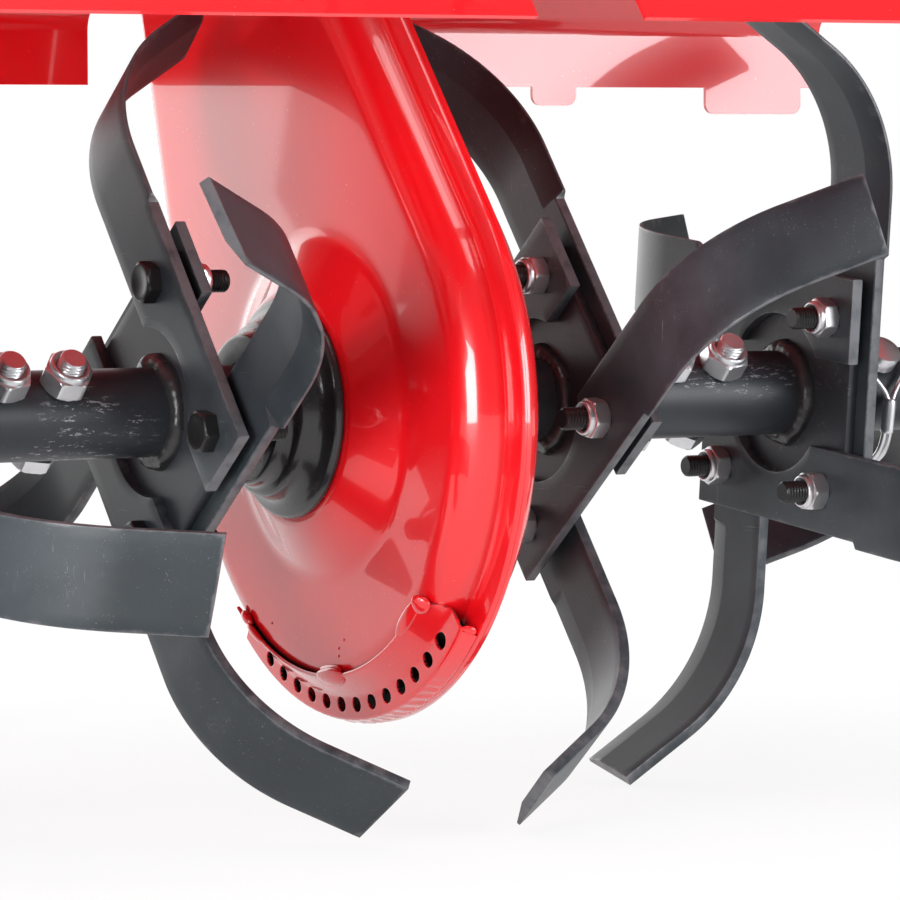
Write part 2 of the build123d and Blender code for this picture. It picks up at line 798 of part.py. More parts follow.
belt_run = (crank - top_shaft).normalized()
belt_out = Vector(0, belt_run.Z, -belt_run.Y)
belt_middle = (crank + top_shaft) * 0.5
run_offset = (belt_seat_driven + belt_seat_crank) / 2 + belt_height
idler = belt_middle + belt_out * (run_offset + idler_gap + idler_radius) * 1.03
idler_pivot = top_shaft + Vector(0, 47, 83)
guard_face = deck_half_width + guard_plate
arm_face = guard_face + 2 * sheet_gap
idler_bolt_radius = 5.0


def idler_arm():
    """Flat arm on the guard plate, with the axle of the idler pulley."""
    arm = side_plate(arm_face, arm_face + idler_arm_width,
                     strap((idler_pivot.Y, idler_pivot.Z, 13.0), (idler.Y, idler.Z, 11.0)))
    arm -= bar_x(guard_face, belt_place, idler_pivot, idler_bolt_radius + running_gap)
    arm += bar_x(arm_face, belt_place + 9.0, idler, idler_bolt_radius)
    return arm + bar_x(belt_place + 8.0, belt_place + 10.0, idler, 1.7 * idler_bolt_radius)


nodes["driven_pulley"] = pulley(top_shaft, driven_radius, 7.0) - bar_x(0, 2 * belt_place, top_shaft,
                                                                      input_shaft_radius + slip_gap)
nodes["crank_pulley"] = pulley(crank, crank_pulley_radius, 0) - bar_x(0, 2 * belt_place, crank,
                                                                     crank_radius + slip_gap)
nodes["drive_belt"] = drive_belt()
nodes["idler_arm"] = idler_arm()
nodes["idler_pulley"] = sleeve(belt_place - 7.5, belt_place + 7.5, idler, idler_radius,
                               idler_bolt_radius + running_gap)


def guard_outline(grow):
    """Outline round both pulleys and the idler."""
    places = ((top_shaft, driven_radius), (crank, crank_pulley_radius), (idler, idler_radius))
    circles = [Pos(c.Y, c.Z) * Circle(r + grow) for c, r in places]
    return make_hull([circle.edge() for circle in circles])


def belt_cover():
    """Deep cover over the belt side, open towards the guard plate."""
    end = belt_place + pulley_half_width + cover_margin
    cover = side_plate(guard_face, end, guard_outline(cover_margin))
    cover = fillet(cover.faces().sort_by(Axis.X)[-1].edges(), cover_corner)
    hollow = side_plate(guard_face, end - case_wall, guard_outline(cover_margin - case_wall))
    cover -= fillet(hollow.faces().sort_by(Axis.X)[-1].edges(), cover_corner - case_wall)
    for k in range(7):
        slot = block((end - 20, end + 1), (-26, 26), (-2.5, 2.5))
        cover -= Pos(0, top_shaft.Y, top_shaft.Z - 36 + 12 * k) * slot
    return cover


nodes["belt_cover"] = belt_cover()

# Engine deck: plate, case cheeks, guard plate, wheel ears, handle ears and stake socket in one weldment
handle_pivot = Vector(0, handle_pivot_y, deck_top + handle_pivot_rise)
wheel_joint = Vector(0, wheel_pivot[0], wheel_pivot[1])
wheel_ear_face = wheel_half_width + 3 * arm_bar
stake_gap = 2 * sheet_gap


def engine_deck():
    plate = block((-deck_half_width, deck_half_width), (deck_front, deck_rear), (deck_bottom, deck_top))
    plate = fillet(plate.edges().filter_by(Axis.Z), 12.0)
    low_bolt = top_shaft - case_axis * frame_bolt_drops[-1]
    cheek = make_face(Polyline(
        (top_shaft.Y - 110, deck_top),
        (top_shaft.Y + 70, deck_top),
        (top_shaft.Y + 55, top_shaft.Z - 20),
        (low_bolt.Y + 45, low_bolt.Z - 12),
        (low_bolt.Y - 35, low_bolt.Z - 12),
        (top_shaft.Y - 110, top_shaft.Z - 40),
        close=True,
    ))
    for side in (-1, 1):
        face = side * case_half_width + side * slip_gap
        plate += side_plate(*sorted((face, face + side * cheek_plate)), cheek)
        ear = strap((deck_front + 20, deck_bottom - 12, 16.0), (wheel_joint.Y, wheel_joint.Z, 18.0))
        plate += side_plate(*sorted((side * wheel_ear_face, side * (wheel_ear_face + ear_plate))), ear)
        ear = strap((handle_pivot.Y, handle_pivot.Z, 20.0), (handle_pivot.Y - 12, deck_top - 2, 32.0))
        ear &= Pos(handle_pivot.Y, deck_bottom + 60) * Rectangle(160, 120)
        plate += side_plate(*sorted((side * ear_half_gap, side * (ear_half_gap + ear_plate))), ear)
    plate += side_plate(deck_half_width - 1, guard_face, guard_outline(cover_margin))
    plate += block((-15, 15), (deck_rear - 15, stake_y), (deck_bottom - 28, deck_bottom + 2))
    half_x = stake_width / 2 + stake_gap + socket_wall
    half_y = stake_thickness / 2 + stake_gap + socket_wall
    plate += block((-half_x, half_x), (stake_y - half_y, stake_y + half_y),
                   (deck_top - socket_height, deck_top))
    bore_x, bore_y = half_x - socket_wall, half_y - socket_wall
    plate -= block((-bore_x, bore_x), (stake_y - bore_y, stake_y + bore_y),
                   (deck_top - 2 * socket_height, deck_top + 1))
    plate -= rod((0, stake_y, knob_z), (0, stake_y + 2 * half_y, knob_z), knob_screw_radius + running_gap)
    collar = input_shaft_radius + input_bearing_wall + collar_wall
    plate -= bar_x(-2 * case_half_width, 2 * case_half_width, top_shaft, collar + free_gap)
    plate -= bar_x(deck_half_width - 2, guard_face, top_shaft, 2 * input_shaft_radius)
    plate -= bar_x(deck_half_width - 2, guard_face, crank, 2 * crank_radius)
    plate -= bar_x(deck_half_width - 2, guard_face, idler_pivot, idler_bolt_radius + slip_gap)
    for centre in (handle_pivot, wheel_joint):
        plate -= bar_x(-deck_half_width, deck_half_width, centre, pivot_bolt_radius + slip_gap)
    for drop in frame_bolt_drops:
        plate -= bar_x(-2 * case_half_width, 2 * case_half_width, top_shaft - case_axis * drop,
                       frame_bolt_radius + slip_gap)
    return plate


knob_z = deck_top - 0.5 * socket_height
knob_screw_radius = 5.0
nodes["engine_deck"] = engine_deck()


# Bolts of the frame, the arm pivot, the handle pivot and the wheel arm pivot
def through_bolt(centre, half, radius, flats):
    """Bolt along X with its head and nut on the outer faces of a stack."""
    solid = hex_bar((-half, centre.Y, centre.Z), (-half - 6.4, centre.Y, centre.Z), flats)
    solid += bar_x(-half, half, centre, radius)
    solid += hex_bar((half, centre.Y, centre.Z), (half + 8.0, centre.Y, centre.Z), flats)
    return solid + bar_x(half, half + 12.0, centre, radius)


clamped = [cheek_face + slip_gap] * (len(frame_bolt_drops) - 1) + [cheek_face + slip_gap + fender_sheet]
frame_bolts = [through_bolt(top_shaft - case_axis * drop, half, frame_bolt_radius, frame_bolt_flats)
               for drop, half in zip(frame_bolt_drops, clamped)]
frame_bolts.append(through_bolt(handle_pivot, ear_half_gap + ear_plate, pivot_bolt_radius, 19.0))
frame_bolts.append(through_bolt(wheel_joint, wheel_ear_face + ear_plate, pivot_bolt_radius, 19.0))
arm_end = arm_face + idler_arm_width + sheet_gap
guard_back = deck_half_width - 1
idler_bolt = bar_x(guard_back - 4, arm_end, idler_pivot, idler_bolt_radius)
for seat, end in ((arm_end, arm_end + 3), (guard_back, guard_back - 5)):
    idler_bolt += hex_bar((seat, idler_pivot.Y, idler_pivot.Z), (end, idler_pivot.Y, idler_pivot.Z), 16.0)
frame_bolts.append(idler_bolt)
nodes["frame_bolts"] = Compound(children=frame_bolts)


# Fenders
def fender():
    """Bent sheet over one side's tines, with a lip on the cheek and a rear skirt that ends in two tabs."""
    inner = cheek_face + slip_gap
    front = (fender_front, fender_top - fender_front_drop)
    path = FilletPolyline(
        front,
        (fender_front + 36, fender_top),
        (fender_rear - 38, fender_top),
        (fender_rear, fender_top - 38),
        (fender_rear, skirt_bottom),
        radius=12.0,
    )
    profile = offset(path, fender_sheet, side=Side.LEFT, closed=True)
    sheet = side_plate(inner, fender_reach, make_face(profile))
    low_bolt = top_shaft - case_axis * frame_bolt_drops[-1]
    sheet += block((inner, inner + fender_sheet), (low_bolt.Y - 32, low_bolt.Y + 42),
                   (fender_top, low_bolt.Z + lip_over_bolt))
    sheet -= bar_x(0, 2 * inner, low_bolt, frame_bolt_radius + slip_gap)
    for x0, x1, bottom in skirt_tabs:
        tab = block((x0, x1), (fender_rear, fender_rear + fender_sheet), (bottom, skirt_bottom + 1))
        sheet += fillet(tab.edges().filter_by(Axis.Y).sort_by(Axis.Z)[:2], 5.0)
    return sheet


nodes["left_fender"] = fender()
nodes["right_fender"] = mirrored(nodes["left_fender"])


# Engine
def crankcase():
    body = block((-block_half_width, block_half_width),
                 (crank.Y - block_half_depth, crank.Y + block_half_depth),
                 (deck_top, deck_top + block_height))
    body = fillet(body.edges().filter_by(Axis.X), 18.0)
    foot_half = block_half_depth + 12
    body += block((-block_half_width + 2, block_half_width - 2), (crank.Y - foot_half, crank.Y + foot_half),
                  (deck_top, deck_top + 14))
    body += bar_x(block_half_width, block_half_width + 14, crank, 52.0)
    filler = Vector(block_half_width - 30, crank.Y - block_half_depth - 4, deck_top + 30)
    body += rod(filler, filler + Vector(0, -16, 16), 13.0)
    return body - bar_x(-2 * block_half_width, 2 * block_half_width, crank, crank_radius + running_gap)


engine_block = crankcase()
cylinder_axis = Vector(0, -sin(radians(cylinder_lean)), cos(radians(cylinder_lean)))


def engine_cylinder():
    """Finned barrel and head, with the rocker cover on top."""
    plane = Plane(origin=crank, x_dir=(1, 0, 0), z_dir=cylinder_axis)
    top = fin_start + fin_count * fin_pitch
    barrel = Pos(0, 0, 40) * Cylinder(36.0, top - 40, align=MIN_Z)
    fin = extrude(RectangleRounded(2 * fin_half_width, 2 * fin_half_width - 6, 10.0), fin_thickness)
    barrel += [Pos(0, 0, fin_start + k * fin_pitch) * fin for k in range(fin_count)]
    port_z = top - port_drop
    barrel += [rod((x, 0, port_z), (x, -port_reach, port_z), port_radius) for x in port_places]
    cover = Pos(0, 0, top) * Box(78, 66, 30, align=MIN_Z)
    cover = fillet(cover.edges().filter_by(Axis.Z), 14.0)
    cover = fillet(cover.faces().sort_by(Axis.Z)[-1].edges(), 7.0)
    return plane * (barrel + cover) - engine_block


nodes["engine_block"] = engine_block
nodes["engine_cylinder"] = engine_cylinder()
head_top = fin_start + fin_count * fin_pitch


def fan_shroud():
    """Sheet housing round the flywheel and up the side of the barrel."""
    head = crank + cylinder_axis * (fin_start + 40)
    x0, x1 = -block_half_width - shroud_depth, -block_half_width
    shell = side_plate(x0, x1, strap((crank.Y, crank.Z, shroud_radius), (head.Y, head.Z, 62.0)))
    shell = fillet(shell.faces().sort_by(Axis.X)[0].edges(), 10.0)
    hollow = side_plate(x0 + case_wall, x1, strap((crank.Y, crank.Z, shroud_radius - case_wall),
                                                  (head.Y, head.Z, 62.0 - case_wall)))
    shell -= fillet(hollow.faces().sort_by(Axis.X)[0].edges(), 10.0 - case_wall)
    return shell - bar_x(x0 - 1, x1, crank, recoil_radius - 12)


shroud_face = -block_half_width - shroud_depth
recoil_face = shroud_face - recoil_depth


def recoil_cover():
    """Dished starter cover with radial air slots and a mid boss."""
    r = recoil_radius
    dish = turned([
        (shroud_face, r),
        (shroud_face - 3, r),
        (shroud_face - 3, r - 6),
        (recoil_face + 6, r - 12),
        (recoil_face, r - 20),
        (recoil_face, 0),
        (recoil_face + case_wall, 0),
        (recoil_face + case_wall, r - 21),
        (recoil_face + 7, r - 14.5),
        (shroud_face, r - 9),
    ])
    slot = block((recoil_face - 1, recoil_face + 2 * case_wall), (24, r - 26), (-3, 3))
    dish -= [Rot(X=30 * k) * slot for k in range(12)]
    return Pos(0, crank.Y, crank.Z) * dish


def flywheel():
    """Flywheel with straight fan blades on its outer face."""
    back = -block_half_width - 6
    wheel = sleeve(back - 12, back, crank, flywheel_radius, crank_radius + slip_gap)
    blade = block((back - 30, back - 11), (flywheel_radius * 0.62, flywheel_radius - 2), (-1.5, 1.5))
    wheel += [Pos(0, crank.Y, crank.Z) * Rot(X=20 * k) * blade for k in range(18)]
    return wheel


grip_centre = crank + radial(58, recoil_radius + 4, (shroud_face + recoil_face) / 2)


def starter_grip():
    """Rounded pull grip resting on the rim of the starter cover."""
    grip = Pos(grip_centre) * Rot(X=58) * Pos(0, 6, 0) * fillet(Box(20, 16, 56).edges(), 6.0)
    out = radial(58)
    neck = rod(grip_centre - out * 12, grip_centre + out * 2, 6.0)
    return grip + (neck - nodes["recoil_cover"])


nodes["fan_shroud"] = fan_shroud()
nodes["recoil_cover"] = recoil_cover()
nodes["flywheel"] = flywheel()
nodes["starter_grip"] = starter_grip()
nodes["crankshaft"] = bar_x(shroud_face + 4, pulley_shaft_end, crank, crank_radius)

tank_x = tank_size[0] / 2 - block_half_width + 2
tank_y = crank.Y + block_half_depth + 15
tank_z = deck_top + block_height + tank_foot
cap_seat = Vector(tank_x, tank_y, tank_z + tank_size[2])


def fuel_tank():
    tank = Pos(tank_x, tank_y, tank_z) * Box(*tank_size, align=MIN_Z)
    tank = fillet(tank.edges(), 20.0)
    foot = block((-50, 50), (crank.Y + 30, crank.Y + block_half_depth - 20),
                 (deck_top + block_height, tank_z + tank_foot))
    neck = rod(cap_seat - Vector(0, 0, 4), cap_seat + Vector(0, 0, 9), cap_radius - 8)
    return tank + foot + neck


def fuel_cap():
    """Lobed cap over the filler neck."""
    lobed = Circle(cap_radius) + PolarLocations(cap_radius - 1, 12) * Circle(3.2)
    cap = extrude(lobed, 18.0)
    cap = fillet(cap.faces().sort_by(Axis.Z)[-1].edges(), 2.0)
    cap -= Cylinder(cap_radius - 8 + slip_gap, 2 * 9.2)
    return Pos(cap_seat.X, cap_seat.Y, cap_seat.Z + sheet_gap) * cap


nodes["fuel_tank"] = fuel_tank()
nodes["fuel_cap"] = fuel_cap()

port_way = -Vector(0, cos(radians(cylinder_lean)), sin(radians(cylinder_lean)))
port = crank + cylinder_axis * (head_top - port_drop) + port_way * port_reach


def port_pipe(x):
    """Short pipe that continues a port of the head."""
    start = Vector(x, port.Y, port.Z)
    return rod(start, start + port_way * 25, port_radius - 1)


def muffler():
    """Rounded silencer with a louvred guard and its pipe to the head."""
    front, back = deck_front - 30, deck_front + 32
    low = port.Z - 60
    can = block((-92, -8), (front, back), (low, low + 92))
    can = fillet(can.edges(), 14.0)
    for k in range(6):
        can -= block((-80, -20), (front - 1, front + 3), (low + 18 + 10 * k, low + 22 + 10 * k))
    return can + port_pipe(port_places[0])


def air_filter_cover():
    """Ribbed box over the air filter, with the intake pipe to the head."""
    front, back = deck_front - 28, deck_front + 32
    low = port.Z - 52
    box = block((10, 92), (front, back), (low, low + 88))
    box = fillet(box.edges(), 10.0)
    for k in range(4):
        box += block((22 + 16 * k, 28 + 16 * k), (front - 2, front + 4), (low + 14, low + 74))
    return box + port_pipe(port_places[1])


def spark_plug():
    """Plug with its rubber boot on the outer side of the head."""
    seat = crank + cylinder_axis * (head_top - 14)
    start = Vector(fin_half_width - 22, seat.Y, seat.Z)
    plug = rod(start, start + Vector(34, 0, 0), 6.0) - nodes["engine_cylinder"]
    boot = rod(start + Vector(30, 0, 0), start + Vector(52, 0, 0), 9.0)
    return plug + boot + rod(start + Vector(44, 0, 0), start + Vector(44, -26, 4), 6.0)


nodes["muffler"] = muffler()
nodes["air_filter_cover"] = air_filter_cover()
nodes["spark_plug"] = spark_plug()

# Front transport wheel, folded up
raised = radians(wheel_arm_raised)
wheel_centre = wheel_joint + Vector(0, -sin(raised), -cos(raised)) * wheel_arm_length


def wheel_arm():
    """Fork of two flat bars on a pivot tube."""
    inner = wheel_half_width + arm_bar
    tube_end = wheel_ear_face - free_gap
    arm = bar_x(-tube_end, tube_end, wheel_joint, 14.0)
    for side in (-1, 1):
        bar = strap((wheel_joint.Y, wheel_joint.Z, 13.0), (wheel_centre.Y, wheel_centre.Z, 15.0))
        arm += side_plate(*sorted((side * inner, side * (inner + arm_bar))), bar)
    brace = wheel_joint + (wheel_centre - wheel_joint) * 0.42
    arm += bar_x(-inner - 1, inner + 1, brace, 9.0)
    arm -= bar_x(-tube_end, tube_end, wheel_joint, pivot_bolt_radius + running_gap)
    return arm - bar_x(-2 * inner, 2 * inner, wheel_centre, pivot_bolt_radius + slip_gap)


def wheel_rim():
    """Moulded rim: hub, dished web with round holes, and the seat of the tyre."""
    half = wheel_half_width
    hub_half = half + arm_bar - free_gap
    bore = pivot_bolt_radius + running_gap
    one_side = [
        (hub_half, bore),
        (hub_half, 16.0),
        (10, 17.0),
        (5, 24.0),
        (5, rim_radius - 10),
        (half - 4, rim_radius - 7),
        (half - 4, rim_radius),
    ]
    rim = turned(one_side + [(-x, r) for x, r in reversed(one_side)])
    hole = Rot(Y=90) * Cylinder(7.0, 30)
    rim -= [Rot(X=60 * k) * Pos(0, (24 + rim_radius - 10) / 2, 0) * hole for k in range(6)]
    return Pos(wheel_centre) * rim


def wheel_tyre():
    """Solid rubber tyre with a rounded tread and cross grooves."""
    half = wheel_half_width
    seat = rim_radius + slip_gap
    side = [Line((-half, seat), (-half, wheel_radius - 14)),
            ThreePointArc((-half, wheel_radius - 14), (0, wheel_radius), (half, wheel_radius - 14)),
            Line((half, wheel_radius - 14), (half, seat)),
            Line((half, seat), (-half, seat))]
    tyre = revolve(make_face(side), Axis.X, 360)
    groove = block((-half - 1, half + 1), (wheel_radius - 5, wheel_radius + 2), (-2, 2))
    tyre -= [Rot(X=15 * k) * groove for k in range(24)]
    return Pos(wheel_centre) * tyre


nodes["wheel_arm"] = wheel_arm()
nodes["wheel_rim"] = wheel_rim()
nodes["wheel_tyre"] = wheel_tyre()
nodes["wheel_axle"] = through_bolt(wheel_centre, wheel_half_width + 2 * arm_bar, pivot_bolt_radius, 19.0)


# Handlebars, grips and levers
def on_handle(k, side):
    x, y, z = handle_path[k]
    return Vector(side * x, handle_pivot.Y + y, handle_pivot.Z + z)


lever_side, throttle_side = 1, -1


def bar_end(side, share):
    """Point along the last straight of one handlebar."""
    return on_handle(2, side) + (on_handle(3, side) - on_handle(2, side)) * share


lever_place = bar_end(lever_side, 0.2)
throttle_place = bar_end(throttle_side, 0.12)
lever_pivot = lever_place - Vector(0, 0, handle_radius + 16)
lever_half = 3.0
lever_pin_radius = 3.0
throttle_pivot = throttle_place + Vector(0, 0, handle_radius + 13)


def handlebars():
    """Two bent tubes on a pivot tube, with a cross tube and the lugs of the two levers."""
    end = ear_half_gap - free_gap
    bars = sleeve(-end, end, handle_pivot, handle_radius, pivot_bolt_radius + running_gap)
    brace = (on_handle(1, 1) + on_handle(2, 1)) * 0.5
    pieces = [bar_x(-brace.X, brace.X, brace, brace_radius)]
    for side in (-1, 1):
        path = FilletPolyline(*[on_handle(k, side) for k in range(4)], radius=handle_bend)
        start = Plane(origin=path @ 0, z_dir=path % 0)
        pieces.append(sweep(start * Circle(handle_radius), path=path))
    for pivot, centre in ((lever_pivot, lever_place), (throttle_pivot, throttle_place)):
        lug = strap((pivot.Y, pivot.Z, 8.0), (centre.Y, centre.Z, handle_radius - 1))
        for way in (-1, 1):
            near, far = pivot.X + way * (lever_half + free_gap), pivot.X + way * (2 * lever_half + free_gap)
            pieces.append(side_plate(*sorted((near, far)), lug))
        pieces.append(bar_x(pivot.X - 2 * lever_half, pivot.X + 2 * lever_half, pivot, lever_pin_radius))
    return bars + pieces


def grip(side):
    """Rubber sleeve over the end of one handlebar."""
    end = bar_end(side, 1.0)
    way = (end - on_handle(2, side)).normalized()
    start = end - way * grip_length
    tip = end + way * grip_wall
    outer = rod(start, tip, handle_radius + grip_wall)
    outer += rod(start, start + way * 6, handle_radius + grip_wall + 5)
    outer = fillet(outer.edges().sort_by(Axis.Y)[-1], grip_wall - 1.0)
    return outer - rod(start - way, end + way * slip_gap, handle_radius + slip_gap)


def lever(pivot, tip, width):
    """Flat lever with a pin hole and a round end."""
    face = strap((pivot.Y, pivot.Z, 7.0), (tip.Y, tip.Z, width))
    plate = side_plate(pivot.X - lever_half, pivot.X + lever_half, face)
    hole = lever_pin_radius + running_gap
    return plate - bar_x(pivot.X - 3 * lever_half, pivot.X + 3 * lever_half, pivot, hole)


nodes["handlebars"] = handlebars()
nodes["grips"] = Compound(children=[grip(-1), grip(1)])
nodes["clutch_lever"] = lever(lever_pivot, lever_pivot + Vector(0, 138, -34), 6.0)
nodes["throttle_lever"] = lever(throttle_pivot, throttle_pivot + Vector(0, -22, 38), 5.0)

# Depth stake and its clamp knob; the stake stands on the level of the lowest tine
ground = min(nodes[name].bounding_box().min.Z for name in nodes if name.endswith("_tines"))


def depth_stake():
    """Flat bar in the socket, with a row of depth holes and a blunt foot."""
    half_x, half_y = stake_width / 2, stake_thickness / 2
    top = deck_top + stake_top
    bar = block((-half_x, half_x), (stake_y - half_y, stake_y + half_y), (ground, top))
    bar = chamfer(bar.edges().filter_by(Axis.Y).sort_by(Axis.Z)[:2], 6.0)
    for k in range(5):
        z = top - 20 - 30 * k
        bar -= rod((0, stake_y - 20, z), (0, stake_y + 20, z), 4.5)
    return bar


def stake_knob():
    """Clamp screw with a star knob."""
    start = stake_y + stake_thickness / 2 + sheet_gap
    outside = stake_y + stake_thickness / 2 + stake_gap + socket_wall
    screw = rod((0, start, knob_z), (0, outside + 12, knob_z), knob_screw_radius)
    star = Circle(15.0) + PolarLocations(15.0, 6) * Circle(6.0)
    plane = Plane(origin=(0, outside + 8, knob_z), x_dir=(1, 0, 0), z_dir=(0, 1, 0))
    return screw + plane * fillet(extrude(star, 16.0).faces().sort_by(Axis.Z)[-1].edges(), 2.0)


nodes["depth_stake"] = depth_stake()
nodes["stake_knob"] = stake_knob()

# The origin is moved to the middle of the footprint, on the ground
boxes = [shape.bounding_box() for shape in nodes.values()]
low = [min(getattr(box.min, axis) for box in boxes) for axis in "XYZ"]
high = [max(getattr(box.max, axis) for box in boxes) for axis in "XYZ"]
shift = Pos(-(low[0] + high[0]) / 2, -(low[1] + high[1]) / 2, -low[2])
for name, shape in nodes.items():
    export_step(shift * shape, f"parts/{name}.step")
print(len(nodes), "nodes, overall", [round(b - a, 1) for a, b in zip(low, high)])
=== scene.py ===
import json
import bmesh
import bpy
import numpy as np
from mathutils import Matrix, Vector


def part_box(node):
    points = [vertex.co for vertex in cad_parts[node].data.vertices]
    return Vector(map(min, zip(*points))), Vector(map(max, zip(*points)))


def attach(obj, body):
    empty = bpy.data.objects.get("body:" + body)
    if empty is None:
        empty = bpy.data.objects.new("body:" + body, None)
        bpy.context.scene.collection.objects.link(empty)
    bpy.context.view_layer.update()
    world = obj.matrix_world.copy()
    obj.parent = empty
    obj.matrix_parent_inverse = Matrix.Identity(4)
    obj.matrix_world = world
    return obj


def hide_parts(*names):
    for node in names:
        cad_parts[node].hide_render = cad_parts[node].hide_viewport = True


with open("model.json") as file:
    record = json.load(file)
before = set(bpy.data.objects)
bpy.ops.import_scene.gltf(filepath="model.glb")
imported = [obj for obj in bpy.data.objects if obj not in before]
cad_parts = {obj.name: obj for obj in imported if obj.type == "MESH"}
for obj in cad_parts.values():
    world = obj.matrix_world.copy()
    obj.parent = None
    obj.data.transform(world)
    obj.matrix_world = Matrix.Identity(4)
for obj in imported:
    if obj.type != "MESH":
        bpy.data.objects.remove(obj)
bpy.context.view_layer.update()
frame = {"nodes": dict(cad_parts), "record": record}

# The tine shaft runs through the chain case from side to side.
# Every turned piece is measured from its middle, in millimetres.
axle = np.mean(np.array(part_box("output_shaft")), axis=0)

# The camera looks nearly level at the case from the front right, with a long lens.
# Its place is measured from the axle, in metres.
view_turn, view_rise, view_roll = -31.06, 3.37, 0.11
view_place, view_lens, view_end = (-1.1317, -1.9550, 0.1137), 209.57, 50.0
camera = bpy.data.objects.new("camera", bpy.data.cameras.new("camera"))
camera.data.lens = view_lens
camera.data.clip_end = view_end
camera.location = axle + view_place
camera.rotation_euler = np.radians((90 - view_rise, view_roll, view_turn))
bpy.context.scene.collection.objects.link(camera)
bpy.context.scene.camera = camera
bpy.context.scene.view_settings.view_transform = "Standard"


# The room is a pale studio: a white backdrop behind the machine, dim walls on the other sides, a matt floor.
# Soft boxes stand to the left and right of the camera and above, with a low panel before the backdrop.
class Wire:
    """A socket of a node tree. Arithmetic on it adds Math nodes, and node() adds any other node."""

    def __init__(self, tree, socket=None):
        self.tree = tree
        self.socket = socket

    def node(self, kind, settings={}, inputs={}, out=0):
        made = self.tree.nodes.new("ShaderNode" + kind)
        for key, value in settings.items():
            setattr(made, key, value)
        dress(made, inputs)
        return Wire(self.tree, made.outputs[out])

    def math(self, operation, *values):
        return self.node("Math", {"operation": operation}, dict(enumerate(values)))

    def __add__(self, other):
        return self.math("ADD", self, other)

    def __sub__(self, other):
        return self.math("SUBTRACT", self, other)

    def __rsub__(self, other):
        return self.math("SUBTRACT", other, self)

    def __mul__(self, other):
        return self.math("MULTIPLY", self, other)

    __radd__ = __add__
    __rmul__ = __mul__

    def step(self, low, high):
        """Smooth step from 0 at low to 1 at high."""
        settings = {"interpolation_type": "SMOOTHSTEP"}
        return self.node("MapRange", settings, {"Value": self, "From Min": low, "From Max": high})

    def noise(self, scale, detail=4.0, rough=0.55):
        """Cloudy noise between 0 and 1, read at this wire's place."""
        return self.node("TexNoise", {}, {"Vector": self, "Scale": scale, "Detail": detail, "Roughness": rough})

    def stretch(self, sizes):
        """The place scaled by a factor on each axis, for grain that runs one way."""
        return self.node("Mapping", {}, {"Vector": self, "Scale": sizes})

    def blend(self, first, second):
        """Colour between two colours, by this wire as the share of the second."""
        return self.node("Mix", {"data_type": "RGBA"}, {0: self, 6: first, 7: second}, 2)

    def bump(self, strength, depth):
        """Normal roughened by this wire as a height, at most depth metres."""
        return self.node("Bump", {}, {"Strength": strength, "Distance": depth, "Height": self})


def dress(made, values):
    """Sets a node's inputs: a wire is linked and a plain value is written in."""
    for key, value in values.items():
        if isinstance(value, Wire):
            value.tree.links.new(value.socket, made.inputs[key])
        else:
            made.inputs[key].default_value = value


def colour(red, green, blue):
    return (red, green, blue, 1.0)


room = bpy.data.worlds.new("room")
room.use_nodes = True
bpy.context.scene.world = room
sky = room.node_tree.nodes["Background"]
sky.inputs["Color"].default_value = colour(1.0, 1.0, 1.0)
fill_light, wall_shine = 0.57, 0.18
backdrop_edge = (0.855, 0.876)
rays = Wire(room.node_tree)
plain_view = rays.node("LightPath", out="Is Camera Ray") + rays.node("LightPath", out="Is Transmission Ray")
mirrored = rays.node("LightPath", out="Is Glossy Ray")
way = rays.node("TexCoord", out="Generated")
backdrop = rays.node("SeparateXYZ", {}, {0: way}, "Y").step(*backdrop_edge)
shine = mirrored * (wall_shine + backdrop * (1.0 - wall_shine)) + (1.0 - mirrored) * fill_light
strength = rays.math("MAXIMUM", plain_view, shine)
room.node_tree.links.new(strength.socket, sky.inputs["Strength"])

floor_half, floor_drop = 6.0, 0.001
floor_shade, near_glow, glow_edge = 0.92, 0.86, (0.75, 1.5)
floor = bpy.data.objects.new("floor", bpy.data.meshes.new("floor"))
floor_corners = np.array([(-1, -1), (1, -1), (1, 1), (-1, 1)]) * floor_half
floor.data.from_pydata(np.c_[floor_corners, np.full(4, -floor_drop)].tolist(), [], [(0, 1, 2, 3)])
bpy.context.scene.collection.objects.link(floor)
sheet = bpy.data.materials.new("floor_sheet")
sheet.use_nodes = True
floor.data.materials.append(sheet)
spot = Wire(sheet.node_tree).node("TexCoord", out="Object")
away = spot.node("VectorMath", {"operation": "LENGTH"}, {0: spot}, "Value").step(*glow_edge)
seen, reflected = (spot.node("LightPath", out=f"Is {ray} Ray") for ray in ("Camera", "Glossy"))
glow = spot.math("MAXIMUM", seen, reflected) * (near_glow + away * (1.0 - near_glow))
white = spot.node("Emission", {}, {"Color": colour(1.0, 1.0, 1.0), "Strength": 1.0})
matt = spot.node("BsdfDiffuse", {}, {"Color": colour(floor_shade, floor_shade, floor_shade)})
ground = spot.node("MixShader", {}, {0: glow, 1: matt, 2: white})
sheet.node_tree.links.new(ground.socket, sheet.node_tree.nodes["Material Output"].inputs["Surface"])


def soft_box(name, place, width, height, power, tint=(1.0, 1.0, 1.0)):
    """Lamp panel at a place seen from the axle in metres, turned to face the axle."""
    lamp = bpy.data.objects.new(name, bpy.data.lights.new(name, "AREA"))
    lamp.data.shape = "RECTANGLE"
    lamp.data.size, lamp.data.size_y = width, height
    lamp.data.energy = power
    lamp.data.color = tint
    way = np.array(place) / np.linalg.norm(place)
    turn = np.arctan2(way[0], -way[1])
    lamp.rotation_euler = (np.arccos(way[2]), 0.0, turn)
    lamp.location = axle + place
    lamp.visible_camera = False
    bpy.context.scene.collection.objects.link(lamp)


